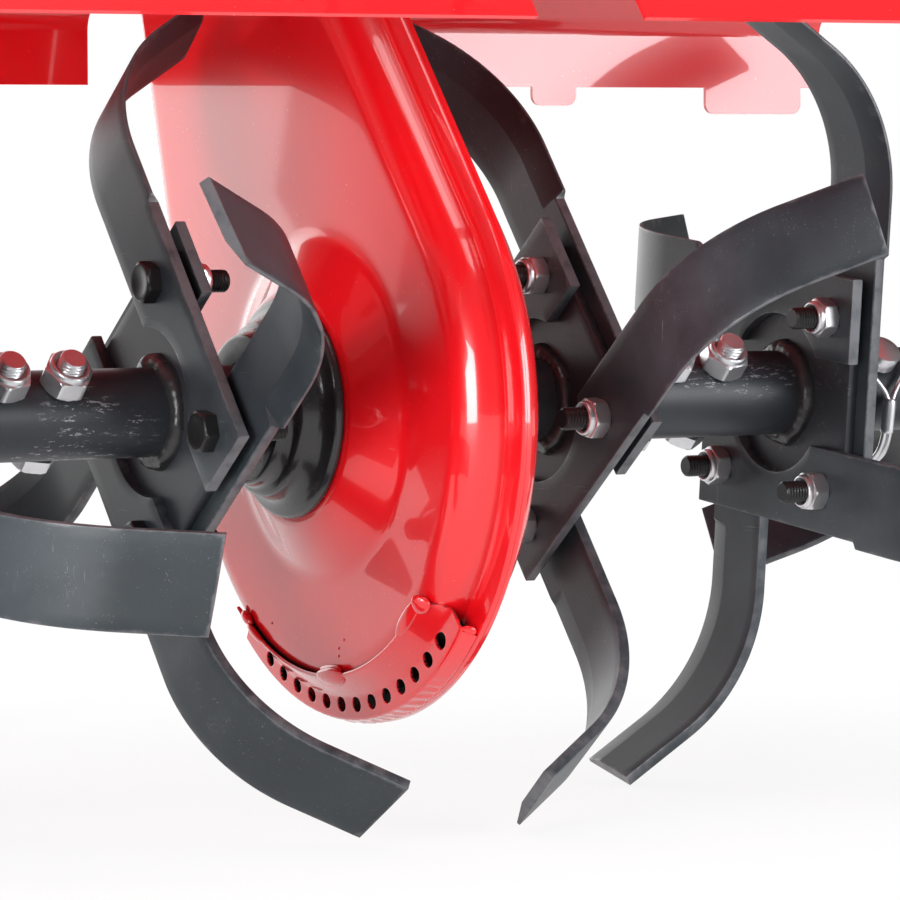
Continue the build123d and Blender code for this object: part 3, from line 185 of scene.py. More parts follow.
soft_box("front_left_box", (-2.2, -1.2, 0.3), 1.3, 1.0, 57.0)
soft_box("front_right_box", (1.4, -2.2, 0.4), 1.3, 1.2, 46.0, (0.93, 0.97, 1.0))
soft_box("top_box", (-0.3, -0.6, 2.6), 2.0, 2.0, 46.0)
soft_box("rear_panel", (0.0, 1.3, 0.4), 1.56, 1.16, 7.6)


# The chain case is two red pressed-steel halves that meet in a seam lip.
# Each is a rounded pan with a conical boss for the shaft, drawn from 2.5 mm sheet.
case_lean = np.radians(27.5)
case_reach = 380.0
low_round, high_round = 125.0, 43.0
lip_width, case_sheet, case_half = 12.0, 2.5, 20.4
shoulder = 17.0
boss_foot, boss_head, boss_height = 73.8, 50.0, 14.1
foot_round, head_round, inner_shift = 16.0, 6.0, 1.5
case_bore = 30.5
collar_from, collar_to, collar_bore, collar_round = 18.5, 33.4, 23.7, 30.0
seam = 0.08
# The case's band under the skid, between these angles and radii, is painted shade: near black in the gap.
shade_from, shade_to, shade_low, shade_high = 223.5, 306.0, 113.0, 136.0


def case_outline():
    """Points round the case with the normal's angle, its centre's height and its radius.
    Round ends share their tangents: the flanks keep one angle while centre and radius slide from end to end."""
    tangent = np.arcsin((low_round - high_round) / case_reach)
    slide = np.linspace(0, 1, 48)
    low_arc = np.linspace(np.pi - tangent, 2 * np.pi + tangent, 240)
    high_arc = np.linspace(tangent, np.pi - tangent, 60)
    angle = np.concatenate([low_arc, tangent + 0 * slide, high_arc, np.pi - tangent + 0 * slide])
    share = np.concatenate([0 * low_arc, slide, 1 + 0 * high_arc, 1 - slide])
    return angle, share * case_reach, low_round + share * (high_round - low_round)


def in_case(across, along, x):
    """Point of the leaning case from its distance across, its distance up the case and its X."""
    y = across * np.cos(case_lean) + along * np.sin(case_lean)
    z = -across * np.sin(case_lean) + along * np.cos(case_lean)
    return np.stack(np.broadcast_arrays(x, y, z), -1)


def case_half_grid():
    """Closed section carried round the case: lip, shoulder arc, flat, boss cone and bore, then the same inside.
    On the flat each point slides in a straight line from the shoulder's edge to the boss at the same angle."""
    angle, height, radius = case_outline()

    def inset(off, x):
        off, x = np.asarray(off)[:, None], np.asarray(x)[:, None]
        return in_case((radius + off) * np.cos(angle), height + (radius + off) * np.sin(angle), x + 0 * angle)

    edge_across = (radius - shoulder) * np.cos(angle)
    edge_along = height + (radius - shoulder) * np.sin(angle)
    spin = np.arctan2(edge_along, edge_across)

    def ring(r, x):
        r, x = np.asarray(r)[:, None], np.asarray(x)[:, None]
        return in_case(r * np.cos(spin), r * np.sin(spin), x + 0 * spin)

    arc = np.linspace(0, np.pi / 2, 22)
    slope = np.arctan2(boss_height, boss_foot - boss_head)
    foot = np.linspace(0, slope, 8)
    top_ease = np.linspace(slope, 0, 7)

    def boss_rows(x0, shift):
        """Rows up the boss: a foot arc that hollows out of the flat, the cone, and a rounded top edge."""
        foot_r = boss_foot - shift + foot_round * (np.tan(slope / 2) - np.sin(foot))
        foot_x = x0 + foot_round * (1 - np.cos(foot))
        head_r = boss_head - shift + head_round * (np.sin(top_ease) - np.tan(slope / 2))
        head_x = x0 + boss_height - head_round * (1 - np.cos(top_ease))
        return np.r_[foot_r, head_r, case_bore], np.r_[foot_x, head_x, x0 + boss_height]

    lip_off = (lip_width, lip_width, 11.8, 11.3, 2.6, 1.2, 0.35, 0.0)
    lip_x = (seam, 1.9, 2.35, case_sheet, case_sheet, 2.8, 3.2, 3.4)
    outer = inset(
        np.r_[lip_off, -shoulder + shoulder * np.cos(arc)],
        np.r_[lip_x, case_half - shoulder + shoulder * np.sin(arc)],
    )
    boss_r, boss_x = boss_rows(case_half, 0.0)
    boss = ring(boss_r, boss_x)
    share = np.linspace(0, 1, 14)[1:-1, None, None]
    flat = outer[-1] + (boss[0] - outer[-1]) * share
    inner_arc = arc[::-1]
    inner = inset(
        np.r_[-shoulder + (shoulder - case_sheet) * np.cos(inner_arc), -case_sheet, lip_width],
        np.r_[case_half - shoulder + (shoulder - case_sheet) * np.sin(inner_arc), seam, seam],
    )
    under_r, under_x = boss_rows(case_half - case_sheet, inner_shift)
    under = ring(under_r[::-1], under_x[::-1])
    under_flat = under[-1] + (inner[0] - under[-1]) * share
    grid = np.concatenate([outer, flat, boss, under, under_flat, inner])
    return np.concatenate([grid, grid[:, :1]], axis=1)


def turned(profile, count=96, centre=(0.0, 0.0)):
    """Profile of (x, radius) points turned about the X direction through a side-view point."""
    profile = np.asarray(profile, float)
    turn = np.linspace(0, 2 * np.pi, count + 1)
    x, r = profile[:, :1], profile[:, 1:]
    return np.stack([x + 0 * turn, centre[0] + r * np.cos(turn), centre[1] + r * np.sin(turn)], -1)


def eased(corners, radius):
    """Closed outline whose corners become small curves: each point is a quadratic blend
    of the corner and of the two points a radius away from it on its two sides."""
    corners = np.asarray(corners, float)
    before, after = np.roll(corners, 1, 0) - corners, np.roll(corners, -1, 0) - corners
    near, far = np.linalg.norm(before, axis=1)[:, None], np.linalg.norm(after, axis=1)[:, None]
    start = corners + before / near * np.minimum(radius, 0.45 * near)
    end = corners + after / far * np.minimum(radius, 0.45 * far)
    t = np.linspace(0, 1, 5)[None, :, None]
    curve = (1 - t) ** 2 * start[:, None] + 2 * t * (1 - t) * corners[:, None] + t ** 2 * end[:, None]
    curve = curve.reshape(-1, corners.shape[1])
    return np.concatenate([curve, curve[:1]])


def make_piece(name, patches, finishes, body, nodes, crease=38.0):
    """Joins grids of points into one mesh: every four neighbouring points make a face.
    A patch is a grid, the number of its finish and, where it has one, a mark at each point from 0 to 1: wear on
    the tines, painted shade on the case and the skid strip."""
    points, faces, marks, wear_and_shade, count = [], [], [], [], 0
    for grid, mark, *worn_and_shaded in patches:
        rows, columns = grid.shape[:2]
        index = count + np.arange(rows * columns).reshape(rows, columns)
        quads = [index[:-1, :-1], index[:-1, 1:], index[1:, 1:], index[1:, :-1]]
        faces.append(np.stack(quads, -1).reshape(-1, 4))
        marks.append(np.full(len(faces[-1]), mark))
        points.append(grid.reshape(-1, 3))
        wear_and_shade.append(np.broadcast_to(worn_and_shaded[0] if worn_and_shaded else 0.0, (rows, columns)).reshape(-1))
        count += rows * columns
    weld_distance, least_edge = 2e-6, 1e-6
    mesh = bpy.data.meshes.new(name)
    mesh.from_pydata((np.concatenate(points) / 1000 + axle).tolist(), [], np.concatenate(faces).tolist())
    mesh.polygons.foreach_set("material_index", np.concatenate(marks).astype(np.int32))
    wear_and_shade_mark = mesh.attributes.new("wear_and_shade", "FLOAT", "POINT")
    wear_and_shade_mark.data.foreach_set("value", np.concatenate(wear_and_shade).astype(np.float32))
    shell = bmesh.new()
    shell.from_mesh(mesh)
    bmesh.ops.remove_doubles(shell, verts=shell.verts, dist=weld_distance)
    bmesh.ops.dissolve_degenerate(shell, dist=least_edge, edges=shell.edges)
    bmesh.ops.recalc_face_normals(shell, faces=shell.faces)
    shell.to_mesh(mesh)
    shell.free()
    mesh.shade_smooth()
    mesh.set_sharp_from_angle(angle=np.radians(crease))
    for finish in finishes:
        mesh.materials.append(finish)
    piece = bpy.data.objects.new(name, mesh)
    bpy.context.scene.collection.objects.link(piece)
    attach(piece, body)
    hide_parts(*nodes)


def new_finish(name):
    """Empty material, its shader and a wire at the piece's own place."""
    made = bpy.data.materials.new(name)
    made.use_nodes = True
    return made, made.node_tree.nodes["Principled BSDF"], Wire(made.node_tree).node("TexCoord", out="Object")


red_paint, shader, place = new_finish("red_paint")
cloud = place.noise(9.0, 3.0)
dust = place.noise(900.0, 2.0).step(0.70, 0.78) * place.noise(45.0).step(0.45, 0.75)
peel = place.noise(420.0, 2.0)
red = cloud.blend(colour(0.66, 0.003, 0.007), colour(0.74, 0.005, 0.010))
dusty = (dust * 0.35).blend(red, colour(0.75, 0.45, 0.42))
# Where the mark is set, the paint is near-black painted shade with no coat: the gap under the skid, the strip's
# inner faces and its hole walls.
painted_shade = place.node("Attribute", {"attribute_name": "wear_and_shade"}, out="Fac")
dress(shader, {
    "Base Color": painted_shade.blend(dusty, colour(0.008, 0.007, 0.007)),
    "Roughness": 0.22 + dust * 0.3 + cloud * 0.06 + painted_shade * 0.3,
    "Normal": peel.bump(0.05, 0.0002),
    "Coat Weight": 1.0 - painted_shade,
    "Coat Roughness": 0.035,
})

top_y, top_z = case_reach * np.sin(case_lean), case_reach * np.cos(case_lean)
half_grid = case_half_grid()
collar_corners = [
    (collar_from, collar_bore), (collar_to, collar_bore),
    (collar_to, collar_round), (collar_from, collar_round),
]
collar_grid = turned(eased(collar_corners, 1.2), 64, (top_y, top_z))
# Painted shade on the case under the skid, on the right half only: it fades in over 3 mm at the strip's edge and
# fades out before the seam lip.
reach = np.hypot(half_grid[..., 1], half_grid[..., 2])
round_to = np.degrees(np.arctan2(half_grid[..., 2], half_grid[..., 1])) % 360
covered = (round_to > shade_from) & (round_to < shade_to)
under_skid = covered * np.clip((reach - shade_low) / 3.0, 0, 1) * np.clip((shade_high - reach) / 1.5, 0, 1)
for side, name in ((1, "left"), (-1, "right")):
    flip = np.array([side, 1, 1])
    gap_shade_band = under_skid * (side < 0)
    make_piece(f"case_{name}_half", [(half_grid * flip, 0, gap_shade_band), (collar_grid * flip, 0)], [red_paint],
               "chassis", [f"case_{name}_shell"])


# The skid is a bent steel strip on the right side of the seam lip, round the bottom of the case.
# A ledge leans off the shoulder, an upright face carries a row of holes, and a hammered foot meets the lip.
# It is tack-welded along its edges and painted with the case. Its inner faces and hole walls are painted shade in
# near black, so the holes and the gap under the strip read dark.
skid_from, skid_to, skid_sheet = 222.0, 307.5, 1.5
first_hole, hole_step, hole_count, hole_radius = 227.5, 5.82, 13, 3.3
hole_up, hole_ring = 16.7, 128.5
cells_low, cells_high = 11.2, 22.2
skid_bends = np.array([(22.13, 116.09), (12.23, 125.35), (10.97, 135.22), (3.07, 137.06)])
skid_ups = np.r_[0.0, np.cumsum(np.linalg.norm(np.diff(skid_bends, axis=0), axis=1))]
skid_top = skid_ups[-1]
ripple_height, ripple_from = 0.26, 231.0
point_from, point_leads = 228.0, (0.0, 2.2, 0.8, 0.0)


def skid_line(up):
    """Point of the bent line at a distance up from its free edge. Past its ends the line runs straight on."""
    first, last = skid_bends[1] - skid_bends[0], skid_bends[-1] - skid_bends[-2]
    ahead = skid_bends[0] - first, skid_bends[-1] + last
    line = np.concatenate([ahead[:1], skid_bends, ahead[1:]])
    ups = np.r_[-skid_ups[1], skid_ups, 2 * skid_top - skid_ups[-2]]
    return np.stack([np.interp(up, ups, line[:, 0]), np.interp(up, ups, line[:, 1])], -1)


def on_skid(angle, up, depth=0.0):
    """Point of the strip at an angle in degrees, a way up its section and a depth under its outer face.
    The section is the bent line averaged over a short run, which rounds the bends, and its normal is square to
    the line between that run's ends. The foot ripples in slanting waves, and the front end is cut to a point."""
    angle, up, depth = np.broadcast_arrays(np.asarray(angle, float), up, depth)
    half_run = 1.1
    middle = np.mean([skid_line(up + off) for off in np.linspace(-half_run, half_run, 9)], axis=0)
    way = skid_line(up + half_run) - skid_line(up - half_run)
    way = way / np.linalg.norm(way, axis=-1)[..., None]
    wave = np.sin(2.1 * angle + 0.25 * up + np.sin(0.37 * angle))
    wave = wave + 0.6 * np.sin(3.7 * angle - 0.3 * up + 2 * np.sin(0.2 * angle))
    hammered = np.clip((up - skid_ups[2]) / 3, 0, 1) * np.clip((angle - ripple_from) / 10, 0, 1)
    lift = ripple_height * wave * hammered - depth
    x = middle[..., 0] + way[..., 1] * lift
    r = middle[..., 1] - way[..., 0] * lift
    point = np.interp(up, skid_ups, point_leads) * np.clip((point_from - angle) / 6, 0, 1)
    turn = np.radians(angle - point)
    return np.stack([x, r * np.cos(turn), r * np.sin(turn)], -1)


def hole_cells():
    """Strip cells with one hole each. Points slide from a circle to the cell's rectangular border at the same
    angle, and the circle's rows run on down the wall of the hole to the inner face."""
    half = np.radians(hole_step / 2) * hole_ring
    low, high = cells_low - hole_up, cells_high - hole_up
    run = np.linspace(-half, half, 9)[:-1]
    rise = np.linspace(low, high, 9)[:-1]
    border = np.concatenate([
        np.c_[run, np.full(8, low)], np.c_[np.full(8, half), rise],
        np.c_[-run, np.full(8, high)], np.c_[np.full(8, -half), low + high - rise],
    ])
    border = np.concatenate([border, border[:1]])
    way = border / np.linalg.norm(border, axis=1)[:, None]
    slide = np.array([1.0, 0.6, 0.3, 0.1])[:, None, None]
    brim = way * hole_radius * 1.12
    outer = brim + (border - brim) * slide
    rims = way * hole_radius * np.array([1.12, 1.03, 1.0, 1.0, 1.0])[:, None, None]
    spread = np.concatenate([outer, rims, outer[::-1]])
    depth = np.r_[0, 0, 0, 0, 0, 0.1, 0.4, skid_sheet - 0.2, np.full(5, skid_sheet)][:, None]
    middle = first_hole + hole_step * np.arange(hole_count)
    angle = middle[:, None, None] + np.degrees(spread[..., 0] / hole_ring)
    return on_skid(angle, hole_up + spread[..., 1], depth)


def skid_patches():
    """One strip: hole cells, ledge, foot, the plain ends of the face, the rounded long edges and the cut ends.
    Inner faces and hole walls are marked as painted shade, near black."""
    cells_from, cells_to = first_hole - hole_step / 2, first_hole + hole_step * (hole_count - 0.5)
    start, end = np.linspace(skid_from, cells_from, 9), np.linspace(cells_to, skid_to, 9)
    along_cells = np.linspace(cells_from, cells_to, 8 * hole_count + 1)
    whole = np.concatenate([start, along_cells[1:], end[1:]])[:, None]
    ledge, face = np.linspace(0, cells_low, 9), np.linspace(cells_low, cells_high, 9)
    foot = np.linspace(cells_high, skid_top, 16)
    painted, painted_shade = [], []
    for cell in hole_cells():
        painted.append(cell[:7])
        painted_shade.append(cell[6:])
    for angle, up in ((whole, ledge), (whole, foot), (start[:, None], face), (end[:, None], face)):
        painted.append(on_skid(angle, up))
        painted_shade.append(on_skid(angle, up, skid_sheet))
    through = np.linspace(0.0, skid_sheet, 7)
    bulge = 0.55 * np.sqrt(np.maximum(1 - (2 * through / skid_sheet - 1) ** 2, 0))
    painted.append(on_skid(whole, -bulge, through))
    painted.append(on_skid(whole, skid_top + bulge, through))
    rows = np.concatenate([ledge, face[1:], foot[1:]])
    painted += [on_skid(angle, rows, np.array([[0.0], [skid_sheet]])) for angle in (skid_from, skid_to)]
    return [(grid, 0.0) for grid in painted] + [(grid, 1.0) for grid in painted_shade]


def bead(angle, r, x, sizes, lean, seed):
    """Weld bead: a ball of half sizes along the case's round, out from the shaft and up from the sheet, bent
    round the case and swollen by three waves of its own. It leans from the case's flat over to the strip."""
    across, up = np.meshgrid(np.linspace(0, 2 * np.pi, 49), np.linspace(0, np.pi, 25))
    swell = 1 + 0.05 * np.sin(3 * across + seed) * np.sin(up) ** 2
    ball = np.stack([np.sin(up) * np.cos(across), np.sin(up) * np.sin(across), np.cos(up)], -1)
    ball = ball * swell[..., None] * sizes
    lean = np.radians(lean)
    turn = np.radians(angle) + ball[..., 0] / r
    reach = r + ball[..., 1] * np.cos(lean) + ball[..., 2] * np.sin(lean)
    side = x - ball[..., 1] * np.sin(lean) + ball[..., 2] * np.cos(lean)
    return np.stack([side, reach * np.cos(turn), reach * np.sin(turn)], -1)


tacks = (
    (227.8, 114.9, 21.7, (13.0, 3.1, 1.6), 25.0), (222.2, 117.2, 21.2, (4.4, 4.4, 2.0), 40.0),
    (264.1, 116.2, 21.5, (11.5, 4.6, 1.9), 32.0), (264.6, 113.6, 20.9, (9.0, 2.8, 1.2), 12.0),
    (298.4, 115.9, 21.8, (7.5, 2.3, 1.5), 30.0), (303.2, 114.5, 21.4, (4.6, 2.8, 2.0), 24.0),
    (221.7, 134.4, 6.4, (2.6, 4.2, 1.6), 75.0), (307.0, 134.6, 5.6, (2.4, 3.2, 1.5), 75.0),
    (257.9, 101.0, 20.4, (0.6, 0.6, 0.6), 0.0), (260.7, 104.1, 20.4, (0.7, 0.7, 0.6), 0.0),
    (261.0, 107.4, 20.4, (0.6, 0.6, 0.6), 0.0), (293.4, 105.1, 20.4, (0.6, 0.6, 0.5), 0.0),
)
welded = skid_patches() + [(bead(*tack, seed), 0.0) for seed, tack in enumerate(tacks)]
# The mark carries the strip's painted shade: 1 on its inner faces and hole walls.
strip = [(grid * np.array([-1, 1, 1]), 0, wear_and_shade_mark) for grid, wear_and_shade_mark in welded]
make_piece("case_skid_strip", strip, [red_paint], "chassis", ["case_skid"], 42.0)


# The bearing caps are stepped steel turnings in gloss black, pressed into the bosses.
# Each holds a shaft bearing and seal, and its nose covers the end of the tine tube.
gloss_black, shader, place = new_finish("gloss_black")
smear = place.noise(60.0, 5.0)
dress(shader, {
    "Base Color": smear.blend(colour(0.009, 0.009, 0.010), colour(0.020, 0.020, 0.022)),
    "Roughness": 0.20 + smear * 0.14,
    "Normal": place.noise(700.0, 2.0).bump(0.04, 0.0001),
    "Coat Weight": 0.35,
    "Coat Roughness": 0.12,
})
cap_profile = eased([
    (28.5, 27.5), (28.5, 30.3), (34.62, 30.3), (34.62, 47.5), (37.0, 47.5), (38.6, 46.4), (39.6, 43.6),
    (41.0, 41.0), (43.0, 39.2), (46.0, 38.2), (49.0, 37.6), (50.4, 36.0), (51.2, 34.2), (53.0, 33.0),
    (57.0, 32.2), (58.1, 31.2), (58.1, 19.5), (50.3, 19.5), (50.3, 24.0), (42.7, 24.0), (42.7, 27.5),
], 1.1)
cap_grid = turned(cap_profile, 128)
make_piece("shaft_caps", [(cap_grid, 0), (cap_grid * np.array([-1, 1, 1]), 0)], [gloss_black],
           "chassis", ["bearing_caps"])


# The tine tubes are black painted steel with square holder plates welded round them.
# The inner tubes are bolted to the shaft, and the outer ones slide in and are pinned.
tube_round, tube_bore = 19.0, 15.0
tube_start, tube_joint, tube_end = 51.6, 300.0, 372.0
spigot_start, spigot_end, spigot_round = 225.0, 300.3, 14.85
spigot_bore, bore_step = 11.0, 310.3
plate_half, plate_corner, plate_sheet = 50.0, 5.0, 5.0
plate_places = (95.9, 224.5, 353.0)
plate_angles = {-1: (140.6, 95.6, 50.6), 1: (140.6, 5.6, 50.6)}
hub_places, hub_angle, pin_place = (150.0, 178.0), 135.0, 264.5


def plate_grid(x, angle):
    """Square plate with rounded corners: rows run from the tube out to the edge, over it and back.
    On the faces each point slides from the tube's circle to the outline at the same angle."""
    arc = np.linspace(0, np.pi / 2, 9)
    quarter = plate_half - plate_corner + plate_corner * np.c_[np.cos(arc), np.sin(arc)]
    side = np.linspace(1, 0, 10)[1:-1, None]
    quarter_line = np.c_[quarter[-1, 0] * (2 * side - 1), np.full(8, plate_half)]
    part = np.concatenate([quarter, quarter_line])
    turns = [part, np.c_[-part[:, 1], part[:, 0]], -part, np.c_[part[:, 1], -part[:, 0]]]
    outline = np.concatenate(turns + [part[:1]])
    way = outline / np.linalg.norm(outline, axis=1)[:, None]
    hub = way * (tube_round - 1)
    rim = outline - way * 0.7
    slide = np.linspace(0, 1, 9)[:, None, None]
    face = hub + (rim - hub) * slide
    edge = np.stack([outline - way * 0.2, outline, outline, outline - way * 0.2])
    flat = np.concatenate([face, edge, face[::-1], hub[None]])
    half = plate_sheet / 2
    over = np.r_[-half + 0.2, -half + 0.7, half - 0.7, half - 0.2]
    level = np.r_[np.full(9, -half), over, np.full(9, half), -half][:, None]
    turn = np.radians(angle)
    y = flat[..., 0] * np.cos(turn) - flat[..., 1] * np.sin(turn)
    z = flat[..., 0] * np.sin(turn) + flat[..., 1] * np.cos(turn)
    return np.stack(np.broadcast_arrays(x + level, y, z), -1)


def weld_ring(x, way, seed):
    """Fillet weld round the tube: a quarter-round bead whose leg swells slowly, with ripples and two lumps."""
    turn = np.linspace(0, 2 * np.pi, 361)
    bend = np.linspace(-0.15, np.pi / 2 + 0.15, 9)[:, None]
    lag = 0.9 * np.sin(2 * bend)
    ripple = np.sin(26 * turn + lag + 1.6 * np.sin(3 * turn + seed))
    lumps = sum(np.exp(-((turn - spot + 0.15 * np.sin(3 * bend)) / 0.16) ** 2) for spot in (1.5, 4.4))
    leg = 5.3 + 0.06 * ripple + 0.5 * np.sin(2 * turn + seed) + 0.35 * np.sin(5 * turn - seed) + 0.9 * lumps
    out = tube_round - 0.3 + leg * np.sign(np.sin(bend)) * np.abs(np.sin(bend)) ** 0.85
    along = x + way * (plate_sheet / 2 - 0.3 + leg * np.sign(np.cos(bend)) * np.abs(np.cos(bend)) ** 0.85)
    return np.stack(np.broadcast_arrays(along, out * np.cos(turn), out * np.sin(turn)), -1)


tube_black, shader, place = new_finish("tube_black")
grime = place.noise(28.0, 6.0, 0.65)
off_middle = place.math("ABSOLUTE", place.node("SeparateXYZ", {}, {0: place}, "X"))
near_bolts = off_middle.step(0.100, 0.130) * off_middle.step(0.230, 0.190)
flaked = place.stretch((160.0, 520.0, 520.0)).noise(1.0, 6.0, 0.75).step(0.56, 0.62)
scuffed = place.stretch((18.0, 55.0, 55.0)).noise(1.0, 3.0).step(0.49, 0.60)
scratch = flaked * scuffed * (0.10 + near_bolts * 0.90)
speck = place.noise(1300.0, 1.0).step(0.74, 0.8)
black = grime.blend(colour(0.010, 0.012, 0.015), colour(0.030, 0.034, 0.041))
dusty = (speck * 0.4).blend(black, colour(0.25, 0.25, 0.26))
dress(shader, {
    "Base Color": (scratch * 0.8).blend(dusty, colour(0.45, 0.45, 0.47)),
    "Roughness": 0.37 + grime * 0.16 + speck * 0.2,
    "Metallic": scratch * 0.5,
    "Normal": (place.noise(500.0, 3.0) - scratch * 0.4).bump(0.06, 0.0002),
})
weld_black, shader, place = new_finish("weld_black")
dress(shader, {
    "Base Color": place.noise(220.0).blend(colour(0.010, 0.010, 0.011), colour(0.030, 0.030, 0.032)),
    "Roughness": 0.20 + place.noise(90.0) * 0.2,
    "Normal": place.noise(350.0, 3.0).bump(0.25, 0.0006),
})
inner_corners = [
    (tube_start, tube_bore), (tube_start, tube_round), (tube_joint, tube_round), (tube_joint, tube_bore),
]
outer_corners = [
    (spigot_start, spigot_bore), (spigot_start, spigot_round), (spigot_end, spigot_round),
    (spigot_end, tube_round), (tube_end, tube_round), (tube_end, tube_bore),
    (bore_step, tube_bore), (bore_step, spigot_bore),
]
inner_tube, outer_tube = turned(eased(inner_corners, 0.8)), turned(eased(outer_corners, 0.8))
for side, name in ((-1, "right"), (1, "left")):
    flip = np.array([side, 1, 1])
    tubes = {"inner": [(inner_tube * flip, 0)], "outer": [(outer_tube * flip, 0)]}
    for number, (x, angle) in enumerate(zip(plate_places, plate_angles[side])):
        patches = tubes["inner" if number < 2 else "outer"]
        patches.append((plate_grid(side * x, angle), 0))
        for way in (-1, 1):
            patches.append((weld_ring(side * x, way, 2.0 * number + way + side), 1))
    for part, patches in tubes.items():
        make_piece(f"{name}_{part}_tube", patches, [tube_black, weld_black],
                   "rotor", [f"{name}_{part}_tine_tube"])


# The sickle tines are flat spring-steel bars, forged to a curve and ground to an edge.
# Each is bolted flat against its plate, two on either face, and dipped in thin black paint.
tine_sheet, tine_in, tine_out, tine_root = 5.0, 20.0, 58.0, -56.0
notch, notch_half, blade_from, blade_step, step_run = 36.0, 29.93, 67.0, 3.0, 2.4
bend_from, bend_round, bend_turn, tail = 95.0, 77.0, np.radians(57.0), 38.0
tip_slant, bevel_width, bevel_depth = 5.0, 13.0, 3.4


def tine_grid():
    """Section carried along a bar that runs straight, round an arc and straight again. The inner edge dips
    into a notch round the tube, and the outer edge steps up and is bevelled on the hollow side."""
    bend_to = bend_from + bend_round * bend_turn
    tip = bend_to + tail
    run = np.concatenate([
        np.linspace(tine_root, -31, 9), np.linspace(-notch_half, notch_half, 41), np.linspace(31, 66.5, 9),
        np.linspace(blade_from, 69.6, 5), np.linspace(71, bend_from, 7)[:-1],
        np.linspace(bend_from, bend_to, 44)[:-1], np.linspace(bend_to, tip, 9),
    ])
    in_notch = np.abs(run) < notch_half + 0.01
    inner = np.where(in_notch, np.sqrt(np.maximum(notch ** 2 - run ** 2, tine_in ** 2)), tine_in)
    step = np.clip((run - blade_from) / step_run, 0, 1)
    step = step * step * (3 - 2 * step)
    outer = tine_out + blade_step * step
    half = tine_sheet / 2
    ease = 0.55
    edge = 0.25 * ease
    low = np.minimum(bevel_width * step, outer - inner - 4)
    cut = bevel_depth * step
    section = [
        (half - ease, inner), (-half + ease, inner), (-half + edge, inner + edge), (-half, inner + ease),
        (-half, inner + 6), (-half, outer - low - 2 * ease), (-half, outer - low - ease),
        (-half + cut, outer - ease * (1 - step)), (-half + cut + ease, outer), (half - ease, outer),
        (half - edge, outer - edge), (half, outer - ease), (half, outer - 6),
        (half, inner + 6), (half, inner + ease), (half - edge, inner + edge), (half - ease, inner),
    ]
    across = np.stack([np.broadcast_to(w, run.shape) for w, v in section], 1)
    out = np.stack([np.broadcast_to(v, run.shape) for w, v in section], 1)
    past = np.clip((run - tip + tail) / tail, 0, 1)[:, None] ** 2
    s = run[:, None] - past * tip_slant * (out - tine_in) / (tine_out + blade_step - tine_in)
    turn = np.clip((s - bend_from) / bend_round, 0, bend_turn)
    straight = np.minimum(s, bend_from)
    rest = np.maximum(s - bend_to, 0)
    along = straight + (bend_round + across) * np.sin(turn) + rest * np.cos(turn)
    level = -bend_round + (bend_round + across) * np.cos(turn) - rest * np.sin(turn)
    grid = np.stack([along, level + (plate_sheet + tine_sheet) / 2, out], -1)
    worn_and_shaded = np.array([.8, .8, 1, .8, 0, 0, .35, .75, 1, 1, 1, .8, 0, 0, .8, 1, .8]) + 0 * across
    worn_and_shaded[[0, -1]] = 1.0
    ends = [np.broadcast_to(grid[k].mean(0), grid[k].shape)[None] for k in (0, -1)]
    return np.concatenate([ends[0], grid, ends[1]]), np.concatenate([worn_and_shaded[:1], worn_and_shaded, worn_and_shaded[-1:]])


def on_plate(points, x, angle):
    """Turns (along the bar, across the plate, out from the shaft) into a place.
    The bar's way out from the shaft is at the angle."""
    c, s = np.cos(np.radians(angle)), np.sin(np.radians(angle))
    along, across, out = points[..., 0], points[..., 1], points[..., 2]
    return np.stack([x - across, along * s + out * c, -along * c + out * s], -1)


tine_black, shader, place = new_finish("tine_black")
worn_and_shaded = place.node("Attribute", {"attribute_name": "wear_and_shade"}, out="Fac")
grime = place.noise(16.0, 7.0, 0.68)
fleck = place.noise(1500.0, 1.0).step(0.70, 0.78) * place.noise(70.0).step(0.40, 0.70)
graze_up = place.stretch((900.0, 1100.0, 45.0)).noise(1.0, 2.0).step(0.68, 0.74)
graze_along = place.stretch((900.0, 45.0, 1100.0)).noise(1.0, 2.0).step(0.69, 0.75)
graze = (graze_up + graze_along) * place.noise(24.0, 3.0).step(0.48, 0.66)
haze = place.noise(6.0, 6.0, 0.65).step(0.42, 0.72)
chip = (worn_and_shaded * 0.62 + place.noise(120.0, 5.0) * 0.6).step(0.72, 0.98)
black = grime.blend(colour(0.0075, 0.0105, 0.013), colour(0.026, 0.0345, 0.041))
hazed = (haze * 0.40).blend(black, colour(0.086, 0.102, 0.116))
dusty = (fleck * 0.55).blend(hazed, colour(0.30, 0.30, 0.31))
grazed = (graze * 0.45).blend(dusty, colour(0.24, 0.24, 0.25))
dress(shader, {
    "Base Color": (chip * 0.7).blend(grazed, colour(0.16, 0.16, 0.17)),
    "Roughness": 0.31 + grime * 0.16 + haze * 0.10 - chip * 0.1 + fleck * 0.2,
    "Metallic": chip * 0.35,
    "Normal": (place.noise(300.0, 4.0) + grime * 0.6 - chip * 0.2).bump(0.10, 0.0004),
    "Specular IOR Level": 0.40,
})
bar, bar_wear = tine_grid()
other_hand = np.array([1, -1, 1])
for side, name in ((-1, "right"), (1, "left")):
    for row, x, first in zip(("inner", "middle", "outer"), plate_places, plate_angles[side]):
        patches = []
        for quarter in range(4):
            faces_right = (side < 0) == (quarter % 2 == 0)
            shape = bar if faces_right else bar * other_hand
            patches.append((on_plate(shape, side * x, first + 90 * quarter), 0, bar_wear))
        make_piece(f"{name}_{row}_tine_set", patches, [tine_black],
                   "rotor", [f"{name}_{row}_tines"], 30.0)


